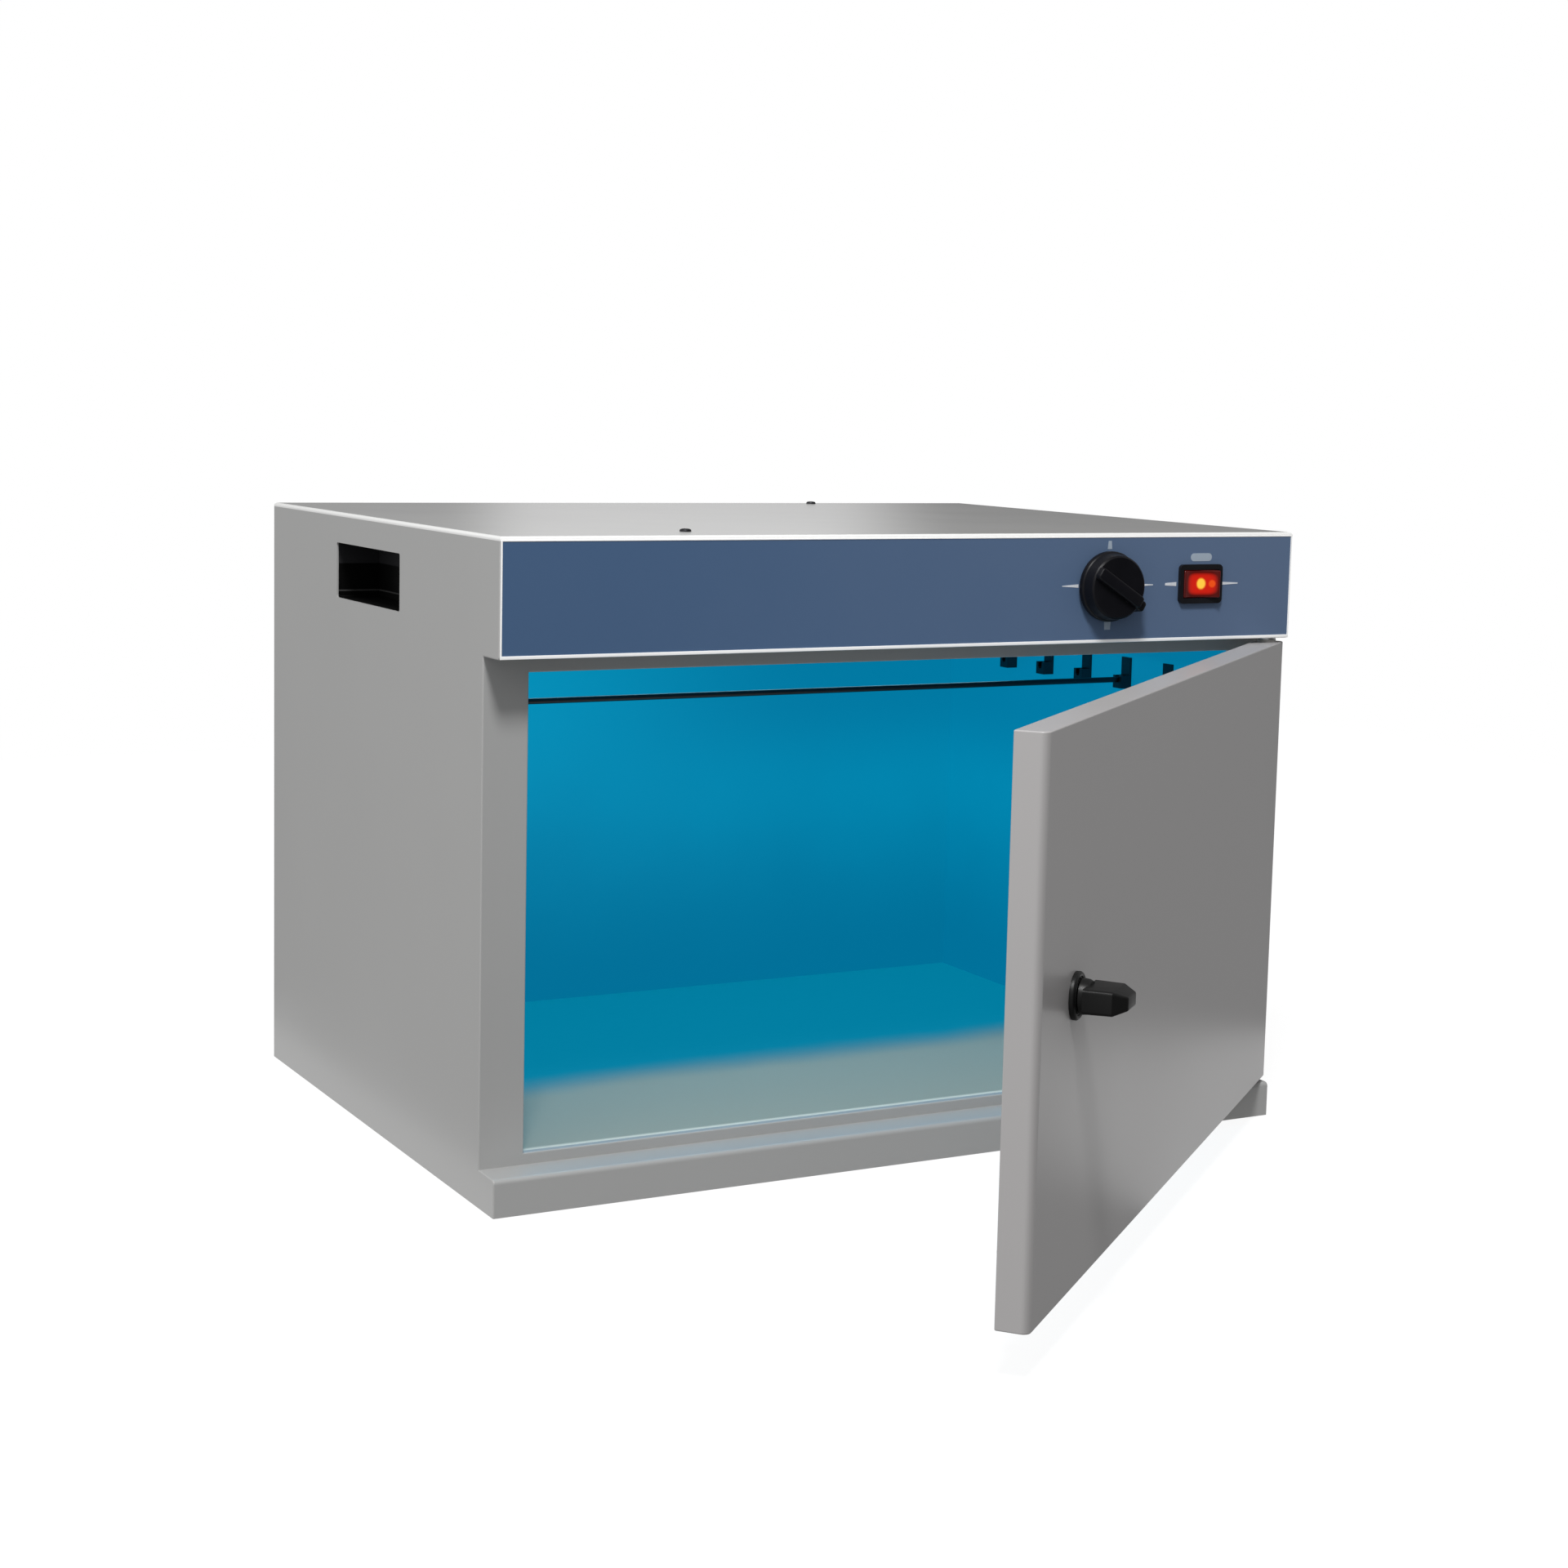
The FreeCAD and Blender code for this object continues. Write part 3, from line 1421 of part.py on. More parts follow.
def hexagon(name, radius, span, centre):
    """A six-sided prism along Z."""
    prism = doc.addObject("Part::Prism", name)
    prism.Polygon = 6
    bind(prism, "Circumradius", radius)
    bind(prism, "Height", span[1] - span[0])
    for axis, place in zip("xyz", (*centre, span[0])):
        bind(prism, f"Placement.Base.{axis}", place)
    return prism


def door_bush(name, face, inward):
    """A flanged nylon bush in the door's end, round a hinge pin."""
    centre = (as_formula(0), as_formula(0))
    flange_end = face - inward * bush_flange
    far = face + inward * bush_length
    bush = joined(f"{name}_solid", [
        bar(f"{name}_flange", "z", bush_flange_radius, (flange_end, face), centre),
        bar(f"{name}_sleeve", "z", bush_radius, (face, far), centre),
    ])
    reach = (flange_end - inward * overrun, far + inward * overrun)
    bore = bar(f"{name}_bore", "z", hinge_pin_radius + hinge_play, reach, centre)
    node(name, hang_on_door(cut(name, bush, [bore])))


def door_span(margin):
    """The door's width and height, drawn in by a margin."""
    return (door_left + margin, door_right - margin), (door_foot + margin, door_head - margin)


def latch_hole(name, radius, depth):
    """A round hole on the latch's axis."""
    low, high = depth
    return bar(name, "y", radius, (low - overrun, high + overrun), (latch_x, latch_height))


def door_screw_places():
    """Three screws along the door's top lip and three along its bottom lip."""
    (left, right), (low, high) = door_span(door_gauge + door_lip / 2)
    middle = (left + right) / 2
    columns = (left + door_screw_margin, middle, right - door_screw_margin)
    return [(x, z) for z in (low, high) for x in columns]


def door_pan():
    """The door's outer pan: a face with rounded sides, four returns and a lip for the inner panel."""
    width, height = door_span(as_formula(0))
    solid = block("pan_solid", width, (door_out, door_in), height)
    solid = rounded("pan_face_round", solid, door_edge_radius, [{"x": x, "y": door_out} for x in width])
    solid = rounded("pan_rim_round", solid, door_rim_radius, [{"x": x, "y": door_in} for x in width])
    solid = rounded("pan_fold_round", solid, door_fold_radius, [{"z": z} for z in height])
    width, height = door_span(door_gauge)
    hollow = door_out + door_gauge
    cavity = block("pan_cavity", width, (hollow, door_in - 2 * door_gauge), height)
    upright = [{"x": x, "y": hollow} for x in width]
    cavity = rounded("pan_cavity_round", cavity, door_edge_radius - door_gauge, upright)
    rebate = block("pan_rebate", width, (door_in - door_gauge, door_in + overrun), height)
    width, height = door_span(door_gauge + door_lip)
    mouth = block("pan_mouth", width, (door_out + door_gauge, door_in + overrun), height)
    lip = (door_in - 2 * door_gauge, door_in - door_gauge)
    holes = [screw_hole(f"pan_hole_{i}", "y", lip, place) for i, place in enumerate(door_screw_places())]
    holes.append(latch_hole("pan_latch_hole", latch_barrel_radius + latch_hole_play, (door_out, door_in)))
    heights = (door_foot - overrun, door_head + overrun)
    centre = (as_formula(0), as_formula(0))
    holes.append(bar("pan_bush_holes", "z", bush_radius + hinge_play, heights, centre))
    node("door_outer_pan", hang_on_door(cut("door_outer_pan", solid, [cavity, rebate, mouth] + holes)))


def door_inner_panel():
    """The sheet that closes the pan, its screws and the rubber bumpers on it."""
    width, height = door_span(door_gauge + door_seam)
    depth = (door_in - door_gauge, door_in)
    plate = block("inner_plate", width, depth, height)
    holes = [screw_hole(f"inner_hole_{i}", "y", depth, place) for i, place in enumerate(door_screw_places())]
    holes.append(latch_hole("inner_latch_hole", latch_barrel_radius + latch_hole_play, depth))
    node("door_inner_panel", hang_on_door(cut("door_inner_panel", plate, holes)))
    screws = [
        screw(f"door_screw_{i}", "y", 1, door_in, place, 2 * door_gauge + overrun)
        for i, place in enumerate(door_screw_places())
    ]
    node("door_screws", hang_on_door(group("door_screws", screws)))
    tip = door_recess - pivot_depth - bumper_play
    columns = (door_left + bumper_from_edge, door_right - bumper_from_edge)
    rows = (door_foot + bumper_margin, door_head - bumper_margin)
    bumpers = [
        bar(f"bumper_{i}_{j}", "y", bumper_radius, (door_in, tip), (x, z))
        for i, x in enumerate(columns)
        for j, z in enumerate(rows)
    ]
    node("door_bumpers", hang_on_door(group("door_bumpers", bumpers)))


def latch():
    """A quarter-turn latch: flange and barrel in the door, nut, spindle, grip knob and cam."""
    centre = (latch_x, latch_height)
    flange_face = door_out - latch_flange_gauge
    nut_face = door_in + latch_nut_height
    flange = joined("latch_flange_solid", [
        bar("latch_rose", "y", latch_flange_radius, (flange_face, door_out), centre),
        bar("latch_barrel", "y", latch_barrel_radius, (door_out, nut_face), centre),
    ])
    bore = latch_hole("latch_bore", spindle_radius + spindle_play, (flange_face, nut_face))
    node("latch_flange", hang_on_door(cut("latch_flange", flange, [bore])))
    nut = bar("latch_nut_solid", "y", latch_nut_radius, (door_in, nut_face), centre)
    thread = latch_hole("latch_nut_thread", latch_barrel_radius + hinge_play, (door_in, nut_face))
    node("latch_nut", hang_on_door(cut("latch_nut", nut, [thread])))
    cam_face = door_recess - pivot_depth + frame_lip + cam_play
    cam_rear = cam_face + cam_gauge
    grip_seat = flange_face - latch_float
    neck_face = grip_seat - latch_neck
    spindle = joined("latch_spindle", [
        bar("spindle_round", "y", spindle_radius, (neck_face, cam_rear), centre),
        bar("spindle_collar", "y", latch_barrel_radius, (nut_face + latch_float, cam_face), centre),
    ])
    node("latch_spindle", hang_on_door(spindle))
    latch_grip(grip_seat, neck_face)
    reach = latch_height - cam_length
    blade = block("cam_blade", centred(latch_x, cam_width), (cam_face, cam_rear), (reach, latch_height))
    eye = bar("cam_eye", "y", cam_width / 2, (cam_face, cam_rear), centre)
    hole = latch_hole("cam_hole", spindle_radius + spindle_play, (cam_face, cam_rear))
    node("latch_cam", hang_on_door(cut("latch_cam", joined("cam_solid", [blade, eye]), [hole])))
    head = bar("cam_screw_head", "y", cam_screw_radius, (cam_rear, cam_rear + cam_screw_head), centre)
    node("cam_screw", hang_on_door(joined("cam_screw_solid", [head, cam_screw_shank(cam_rear)])))


def cam_screw_shank(cam_rear):
    """A thin washer face under the cam screw's head."""
    washer = (cam_rear, cam_rear + cam_screw_head / 2)
    return bar("cam_washer", "y", cam_width / 2, washer, (latch_x, latch_height))


def latch_grip(seat, neck_face):
    """The knob that is turned by hand: a round neck and a drafted bar with rounded edges."""
    owner = body("latch_knob_body")
    neck = sketch_on(owner, "latch_neck_outline", "XZ_Plane", -seat)
    circle(neck, (latch_x, latch_height), latch_neck_radius)
    circle(neck, (latch_x, latch_height), spindle_radius + spindle_play)
    pad(owner, "latch_neck_pad", neck, latch_neck)
    grip = sketch_on(owner, "latch_bar_outline", "XZ_Plane", -neck_face)
    rectangle(grip, centred(latch_x, grip_bar_length), centred(latch_height, grip_bar_height))
    pad(owner, "latch_bar", grip, grip_bar_reach, grip_draft)
    soften(owner, "latch_bar_edges", grip_bar_round, [{"y": neck_face - grip_bar_reach}])
    node("latch_knob", hang_on_door(owner))


def write_nodes():
    """Checks every object and piece, then writes one file a piece."""
    doc.recompute()
    failed = [item.Name for item in doc.Objects if {"Invalid", "Error"} & set(item.State)]
    if failed:
        raise RuntimeError(f"failed objects: {failed}")
    for item in nodes:
        if item.Shape.isNull() or not item.Shape.isValid() or not item.Shape.Solids:
            raise RuntimeError(f"bad shape: {item.Label}")
    os.makedirs("parts", exist_ok=True)
    for item in nodes:
        item.Shape.exportStep(f"parts/{item.Label}.step")
        print(f"{item.Label}: {len(item.Shape.Solids)} solids, {item.Shape.Volume:.0f} mm3")
    print(f"{len(nodes)} nodes")


side_panel("left_side_panel", -half)
side_panel("right_side_panel", inner)
handle_cup("left_handle_cup", -1)
handle_cup("right_handle_cup", 1)
top_panel()
lid_cleats()
base_panel()
back_panel()
corner_angles()
plinth()
control_panel()
panel_overlay()
front_frame()
chamber()
floor_supports()
rod_hooks("left_rod_hooks", -1)
rod_hooks("right_rod_hooks", 1)
hanging_rod()
lamp()
lamp_reflector()
ballast()
starter()
terminal_block()
power_inlet()
timer()
switch()
wiring()
hinge()
door_pan()
door_inner_panel()
latch()
write_nodes()
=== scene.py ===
"""Studio scene of a bench cabinet that sterilizes small items with ultraviolet light.

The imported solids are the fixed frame. The classes below dress them, replace the small
moulded pieces with detailed ones, and set the studio and the camera. Sizes in the classes
are millimetres of the cabinet's own frame: +Z is up and the front faces -Y.
"""

import json
import logging
from abc import ABC, abstractmethod
from collections.abc import Callable, Iterable, Mapping, Sequence
from dataclasses import dataclass
from enum import Enum
from math import asin, cos, pi, radians, sin

import bmesh
import bpy
from bmesh.types import BMEdge, BMFace, BMVert
from bpy.types import NodeSocket, Object
from mathutils import Matrix, Vector


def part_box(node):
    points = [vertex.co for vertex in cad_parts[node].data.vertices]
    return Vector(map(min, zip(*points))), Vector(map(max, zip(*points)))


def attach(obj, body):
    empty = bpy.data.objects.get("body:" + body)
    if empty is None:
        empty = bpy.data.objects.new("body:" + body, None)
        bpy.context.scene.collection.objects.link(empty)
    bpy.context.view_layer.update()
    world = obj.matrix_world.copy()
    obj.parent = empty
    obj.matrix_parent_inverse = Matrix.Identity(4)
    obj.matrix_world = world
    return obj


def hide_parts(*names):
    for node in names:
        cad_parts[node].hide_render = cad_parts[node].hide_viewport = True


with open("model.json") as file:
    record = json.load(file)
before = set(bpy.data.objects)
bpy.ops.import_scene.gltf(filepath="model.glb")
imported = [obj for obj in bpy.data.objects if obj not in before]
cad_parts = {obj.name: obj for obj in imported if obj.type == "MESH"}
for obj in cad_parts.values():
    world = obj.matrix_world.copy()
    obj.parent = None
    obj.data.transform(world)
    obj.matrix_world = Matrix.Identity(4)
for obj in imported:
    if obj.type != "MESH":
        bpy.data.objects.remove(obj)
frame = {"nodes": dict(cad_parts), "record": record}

LOG = logging.getLogger("sterilizer_cabinet")
MM = 0.001
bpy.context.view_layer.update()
PER_METRE = 1000.0
NOISE_MIDDLE = 0.5
WHITE_LIGHT = (1.0, 1.0, 1.0)

Triple = tuple[float, float, float]
Colour = Triple
Point = tuple[float, float]
Pair = tuple[Colour, Colour]
Outline = tuple[Point, ...]


def operator(operation: str, swapped: bool = False) -> Callable[..., "Value"]:
    """Makes an arithmetic method of Value, which adds one Math node.

    Args:
        operation: The Math node's operation.
        swapped: Whether the other operand comes first, as in the reflected forms.

    Returns:
        The method.
    """
    def method(self: "Value", *others: "Value | float") -> "Value":
        """Adds the node and gives its result."""
        operands = (*others, self) if swapped else (self, *others)
        made = self.shader.node("ShaderNodeMath", dict(enumerate(operands)), operation=operation)
        return Value(self.shader, made.outputs[0])

    return method


class Value:
    """A number at one socket of a shader; arithmetic on it adds Math nodes."""

    def __init__(self, shader: "Shader", socket: NodeSocket) -> None:
        """Keeps the socket and the shader that it is wired in."""
        self.shader = shader
        self.socket = socket

    __add__ = __radd__ = operator("ADD")
    __mul__ = __rmul__ = operator("MULTIPLY")
    __sub__ = operator("SUBTRACT")
    __rsub__ = operator("SUBTRACT", swapped=True)
    __truediv__ = operator("DIVIDE")
    __rtruediv__ = operator("DIVIDE", swapped=True)
    __pow__ = operator("POWER")
    __abs__ = operator("ABSOLUTE")
    angle_from = operator("ARCTAN2")  # of this over another value, in radians

    def rise(self, low: float, high: float) -> "Value":
        """A smooth step of this value.

        Args:
            low: Where the step gives 0.
            high: Where the step gives 1; below low for a falling step.

        Returns:
            The step, from 0 to 1.
        """
        inputs = {"Value": self, "From Min": low, "From Max": high}
        made = self.shader.node("ShaderNodeMapRange", inputs, interpolation_type="SMOOTHSTEP")
        return Value(self.shader, made.outputs["Result"])

    def swing(self, reach: float) -> "Value":
        """How far this noise is from its middle, times a reach."""
        return (self - NOISE_MIDDLE) * reach


Feed = Value | NodeSocket | float | Sequence[float]


class Shader:
    """A node tree that is being wired for one finish or for the studio's sky."""

    def __init__(self, tree: bpy.types.NodeTree) -> None:
        """Keeps the tree."""
        self.tree = tree

    def node(
        self, kind: str, inputs: Mapping[str | int, Feed] | None = None, **settings: object
    ) -> bpy.types.Node:
        """Adds a node.

        Args:
            kind: The node's type.
            inputs: Values or links by socket name or number.
            settings: Properties of the node, set before its sockets.

        Returns:
            The node.
        """
        made = self.tree.nodes.new(kind)
        for name, setting in settings.items():
            setattr(made, name, setting)
        for key, feed in (inputs or {}).items():
            self.plug(made.inputs[key], feed)
        return made

    def plug(self, socket: NodeSocket, feed: Feed) -> None:
        """Links or sets one socket.

        Args:
            socket: The socket that is fed.
            feed: A value, a socket, a number, or the numbers of a colour or vector.
        """
        if isinstance(feed, Value):
            feed = feed.socket
        if isinstance(feed, NodeSocket):
            self.tree.links.new(feed, socket)
        elif socket.type == "RGBA" and len(feed) == 3:
            socket.default_value = (*feed, 1.0)
        else:
            socket.default_value = feed

    def place(self) -> NodeSocket:
        """Object coordinates, in metres."""
        return self.node("ShaderNodeTexCoord").outputs["Object"]

    def split(self, vector: NodeSocket, scale: float = 1.0) -> list[Value]:
        """The three numbers of a vector.

        Args:
            vector: The vector.
            scale: What each number is multiplied by.

        Returns:
            X, Y and Z.
        """
        apart = self.node("ShaderNodeSeparateXYZ", {0: vector})
        return [Value(self, out) * scale for out in apart.outputs]

    def axes(self) -> list[Value]:
        """Object coordinates X, Y and Z, in millimetres."""
        return self.split(self.place(), PER_METRE)

    def noise(self, size: float, detail: float = 2.0, stretch: Sequence[float] = (1, 1, 1)) -> Value:
        """Cloudy noise on Object coordinates.

        Args:
            size: Width of one blotch, in millimetres.
            detail: How much finer structure it has.
            stretch: How many times denser it is along each axis.

        Returns:
            The noise, about 0.5.
        """
        turned = self.node("ShaderNodeMapping", {"Vector": self.place(), "Scale": stretch})
        inputs = {"Vector": turned.outputs[0], "Scale": PER_METRE / size, "Detail": detail}
        return Value(self, self.node("ShaderNodeTexNoise", inputs).outputs["Fac"])

    def mix(self, factor: Feed, first: Feed, second: Feed) -> NodeSocket:
        """A colour between two.

        Args:
            factor: 0 gives the first and 1 the second.
            first: A colour.
            second: A colour.

        Returns:
            The mixed colour.
        """
        # inputs 6 and 7 and output 2 are the node's colour sockets
        made = self.node("ShaderNodeMix", {0: factor, 6: first, 7: second}, data_type="RGBA")
        return made.outputs[2]

    def bump(self, height: Value, depth: float, strength: float = 1.0) -> NodeSocket:
        """A normal that follows a height.

        Args:
            height: The height, from 0 to 1.
            depth: What a height of 1 stands for, in millimetres.
            strength: How much of it shows.

        Returns:
            The normal.
        """
        inputs = {"Height": height, "Distance": depth * MM, "Strength": strength}
        return self.node("ShaderNodeBump", inputs).outputs["Normal"]

    def coat(self, inputs: Mapping[str, Feed]) -> None:
        """Feeds the sockets of the tree's main surface shader."""
        for name, feed in inputs.items():
            self.plug(self.tree.nodes["Principled BSDF"].inputs[name], feed)


def shade(colour: Colour, factor: float) -> Colour:
    """A colour made lighter or darker by a factor."""
    return tuple(min(part * factor, 1.0) for part in colour)


@dataclass(frozen=True)
class Finish(ABC):
    """A surface finish, mixed once as a material."""

    name: str

    @abstractmethod
    def wire(self, shader: Shader) -> None:
        """Feeds the material's surface."""

    def mixed(self) -> bpy.types.Material:
        """The finish's material, made the first time that it is asked for."""
        found = bpy.data.materials.get(f"finish_{self.name}")
        if found is None:
            found = bpy.data.materials.new(f"finish_{self.name}")
            found.use_nodes = True
            self.wire(Shader(found.node_tree))
        return found


@dataclass(frozen=True)
class Mottled(Finish):
    """A finish of one colour, which noise makes lighter and darker."""

    colour: Colour
    roughness: float = 0.32
    tones: Point = (0.975, 1.025)

    def tone(self, shader: Shader, cloud: Value) -> NodeSocket:
        """The colour under a noise, between its darkest and lightest shades."""
        return shader.mix(cloud, *(shade(self.colour, tone) for tone in self.tones))


@dataclass(frozen=True)
class Enamel(Mottled):
    """Stoved enamel on sheet steel, a little uneven in tone and gloss."""

    # Self-lit strength; above 0 it is a painted highlight, since enamel is no lamp.
    glow: float = 0.0

    def wire(self, shader: Shader) -> None:
        """Broad unevenness of the coat."""
        cloud = shader.noise(size=110.0, detail=3.0)
        shader.coat({
            "Base Color": self.tone(shader, cloud),
            "Roughness": self.roughness + cloud.swing(0.05),
            "Emission Color": WHITE_LIGHT,
            "Emission Strength": self.glow,
        })


@dataclass(frozen=True)
class EdgedEnamel(Enamel):
    """Enamel of the lid, with a painted highlight along its side and front folds."""

    pale: Colour = (0.93, 0.93, 0.92)
    side: float = 285.0
    front: float = -210.0
    line: float = 2.2
    blur: float = 0.3

    def tone(self, shader: Shader, cloud: Value) -> NodeSocket:
        """A painted highlight along the folds.

        Args:
            shader: The shader that is wired.
            cloud: Its broad unevenness.

        Returns:
            The colour.
        """
        across, along, _ = shader.axes()
        # Painted highlight: a pale band along the side and front folds, where light catches the rounded
        # edges.
        highlight_width = self.line * (1.0 + cloud.swing(0.5))
        sides = (abs(across) + highlight_width - self.side).rise(-self.blur, self.blur)
        nose = (self.front + highlight_width - along).rise(-self.blur, self.blur)
        wear_and_highlight = sides + nose * (1.0 - sides)
        return shader.mix(wear_and_highlight, super().tone(shader, cloud), self.pale)


@dataclass(frozen=True)
class PanelFilm(Finish):
    """Printed slate-blue film on the control panel, matt and slightly pebbled."""

    left: Colour
    right: Colour
    ends: Point = (-280.0, 290.0)
    wander: float = 60.0
    roughness: float = 0.42

    def wire(self, shader: Shader) -> None:
        """A slow change of tone along the panel under a fine pebble."""
        across, _, _ = shader.axes()
        cloud = shader.noise(size=60.0, detail=3.0)
        pebble = shader.noise(size=0.9, detail=1.0)
        along = (across + cloud.swing(self.wander)).rise(*self.ends)
        shader.coat({
            "Base Color": shader.mix(along, self.left, self.right),
            "Roughness": self.roughness + cloud.swing(0.12),
            "Normal": shader.bump(pebble, depth=0.01, strength=0.5),
        })


@dataclass(frozen=True)
class Ink(Mottled):
    """Screen-printed ink on the film, thinned by wear near the panel's top and foot."""

    roughness: float = 0.55
    tones: Point = (0.86, 1.0)
    # Where the ink is thinned by wear, it takes this colour.
    wear_and_highlight: Colour = (0.24, 0.34, 0.45)
    rubbed_share: float = 0.7
    top: Point = (377.0, 380.0)
    foot: Point = (345.0, 342.5)

    def wire(self, shader: Shader) -> None:
        """Slightly patchy cover, mixed with the film where it is rubbed."""
        _, _, up = shader.axes()
        patch = shader.noise(size=1.6)
        thin = self.rubbed_share * (up.rise(*self.top) + up.rise(*self.foot))
        shader.coat({
            "Base Color": shader.mix(thin, self.tone(shader, patch), self.wear_and_highlight),
            "Roughness": self.roughness + patch.swing(0.1),
        })


class Face(Enum):
    """The sheets of the chamber, which the lamp lights differently."""

    WALL = "wall"
    FLOOR = "floor"
    CEILING = "ceiling"


@dataclass(frozen=True)
class LitLiner(Finish):
    """Bright sheet in the lamp's blue light, strongest near the lamp; the light is painted into the sheet
    as a glow.
    """

    face: Face
    bright: Colour = (0.0, 0.265, 0.455)
    dim: Colour = (0.0, 0.150, 0.285)
    wall_base: Pair = ((0.002, 0.04, 0.07), (0.002, 0.05, 0.08))
    wall_heights: Point = (40.0, 280.0)
    painted_shade_across: Point = (-160.0, 150.0)
    painted_shade_heights: Point = (150.0, 250.0)
    roof_heights: Point = (298.0, 312.0)
    floor_base: Pair = ((0.365, 0.375, 0.325), (0.005, 0.05, 0.08))
    floor_glow: Pair = ((0.0, 0.010, 0.006), (0.0, 0.175, 0.285))
    floor_depths: Point = (-62.0, -4.0)
    floor_skew: float = 0.04
    fold_highlight: Colour = (0.78, 0.75, 0.66)
    fold_highlight_depths: Point = (-169.0, -173.0)
    ceiling_glow: float = 0.7

    def wire(self, shader: Shader) -> None:
        """The painted glow fades down the walls, and towards the front on the floor."""
        across, along, up = shader.axes()
        cloud = shader.noise(size=90.0)
        brush = shader.noise(size=0.5, stretch=(0.03, 1.0, 1.0))
        if self.face is Face.FLOOR:
            # Painted light: the floor is grey at the front, where daylight falls in through the opening,
            # and dark blue behind, where it is in shade. The pale line at its bent front lip is a painted
            # highlight.
            depth = (along + cloud.swing(24.0) - self.floor_skew * across).rise(*self.floor_depths)
            base = shader.mix(depth, *self.floor_base)
            base = shader.mix(along.rise(*self.fold_highlight_depths), base, self.fold_highlight)
            glow = shader.mix(depth, *self.floor_glow)
        else:
            # Painted light: the lamp's blue is emitted by the walls, fading downwards, over a base painted
            # dark blue for the shade of the daylight.
            height = (up + cloud.swing(40.0)).rise(*self.wall_heights)
            base = shader.mix(height, *self.wall_base)
            glow = shader.mix(height, self.dim, self.bright)
            # Painted shade: the glow dims towards the upper right, where the hanging things shade the
            # walls, and just under the ceiling.
            corner = across.rise(*self.painted_shade_across) * up.rise(*self.painted_shade_heights)
            painted_shade = 0.85 * corner + 0.35 * up.rise(*self.roof_heights)
            glow = shader.mix(painted_shade, glow, shade(self.dim, 1.08))
        shader.coat({
            "Base Color": base,
            "Roughness": 0.45 + brush.swing(0.10),
            "Specular IOR Level": 0.2,
            "Emission Color": glow,
            "Emission Strength": self.ceiling_glow if self.face is Face.CEILING else 1.0,
            "Normal": shader.bump(brush, depth=0.01, strength=0.3),
        })


@dataclass(frozen=True)
class Moulding(Mottled):
    """Moulded plastic with a fine spark-eroded grain."""

    roughness: float = 0.42
    tones: Point = (0.8, 1.2)
    grain: float = 0.7
    specular: float = 0.5

    def wire(self, shader: Shader) -> None:
        """Fine grain, and slightly polished patches."""
        speck = shader.noise(self.grain)
        cloud = shader.noise(size=14.0)
        shader.coat({
            "Base Color": self.tone(shader, cloud),
            "Roughness": self.roughness + cloud.swing(0.16),
            "Specular IOR Level": self.specular,
            "Normal": shader.bump(speck, depth=0.02, strength=0.4),
        })


@dataclass(frozen=True)
class CupMoulding(Moulding):
    """Moulding of a handle cup, lighter in its upper part and with a painted highlight on a lip near its
    foot.
    """

    upper_tone: Colour = (0.024, 0.024, 0.026)
    upper_tone_heights: Point = (365.5, 366.5)
    lip_highlight: Colour = (0.06, 0.06, 0.06)
    lip_highlight_height: float = 348.0
    lip_highlight_edge: Point = (0.6, 0.3)

    def tone(self, shader: Shader, cloud: Value) -> NodeSocket:
        """Lighter above; below, a painted highlight along the lip.

        Args:
            shader: The shader that is wired.
            cloud: Its polished patches.

        Returns:
            The colour.
        """
        _, _, up = shader.axes()
        banded = shader.mix(up.rise(*self.upper_tone_heights), super().tone(shader, cloud), self.upper_tone)
        # Painted highlight: a thin pale line near the cup's foot, where a lip catches the light.
        return shader.mix(abs(up - self.lip_highlight_height).rise(*self.lip_highlight_edge), banded, self.lip_highlight)


@dataclass(frozen=True)
class Plated(Mottled):
    """Bare or plated metal with drawn or turned marks."""

    roughness: float = 0.30
    tones: Point = (0.82, 1.1)
    stretch: Triple = (1.0, 1.0, 1.0)

    def wire(self, shader: Shader) -> None:
        """Drawn marks along one axis, and a dull bloom."""
        drawn = shader.noise(size=0.6, stretch=self.stretch)
        bloom = shader.noise(size=12.0, detail=3.0)
        shader.coat({
            "Base Color": self.tone(shader, bloom),
            "Metallic": 1.0,
            "Roughness": self.roughness + bloom.swing(0.20) + drawn.swing(0.10),
            "Normal": shader.bump(drawn, depth=0.01, strength=0.4),
        })


@dataclass(frozen=True)
class Spangled(Mottled):
    """Galvanised sheet with its crystal spangle."""

    roughness: float = 0.49
    tones: Point = (0.75, 1.15)
    crystal: float = 9.0

    def wire(self, shader: Shader) -> None:
        """Each crystal has its own tone and gloss."""
        pattern = {"Vector": shader.place(), "Scale": PER_METRE / self.crystal}
        crystal, _, _ = shader.split(shader.node("ShaderNodeTexVoronoi", pattern).outputs["Color"])
        cloud = 0.6 * crystal + 0.4 * shader.noise(size=40.0, detail=3.0)
        shader.coat({
            "Base Color": self.tone(shader, cloud),
            "Metallic": 1.0,
            "Roughness": self.roughness + crystal.swing(0.22),
        })


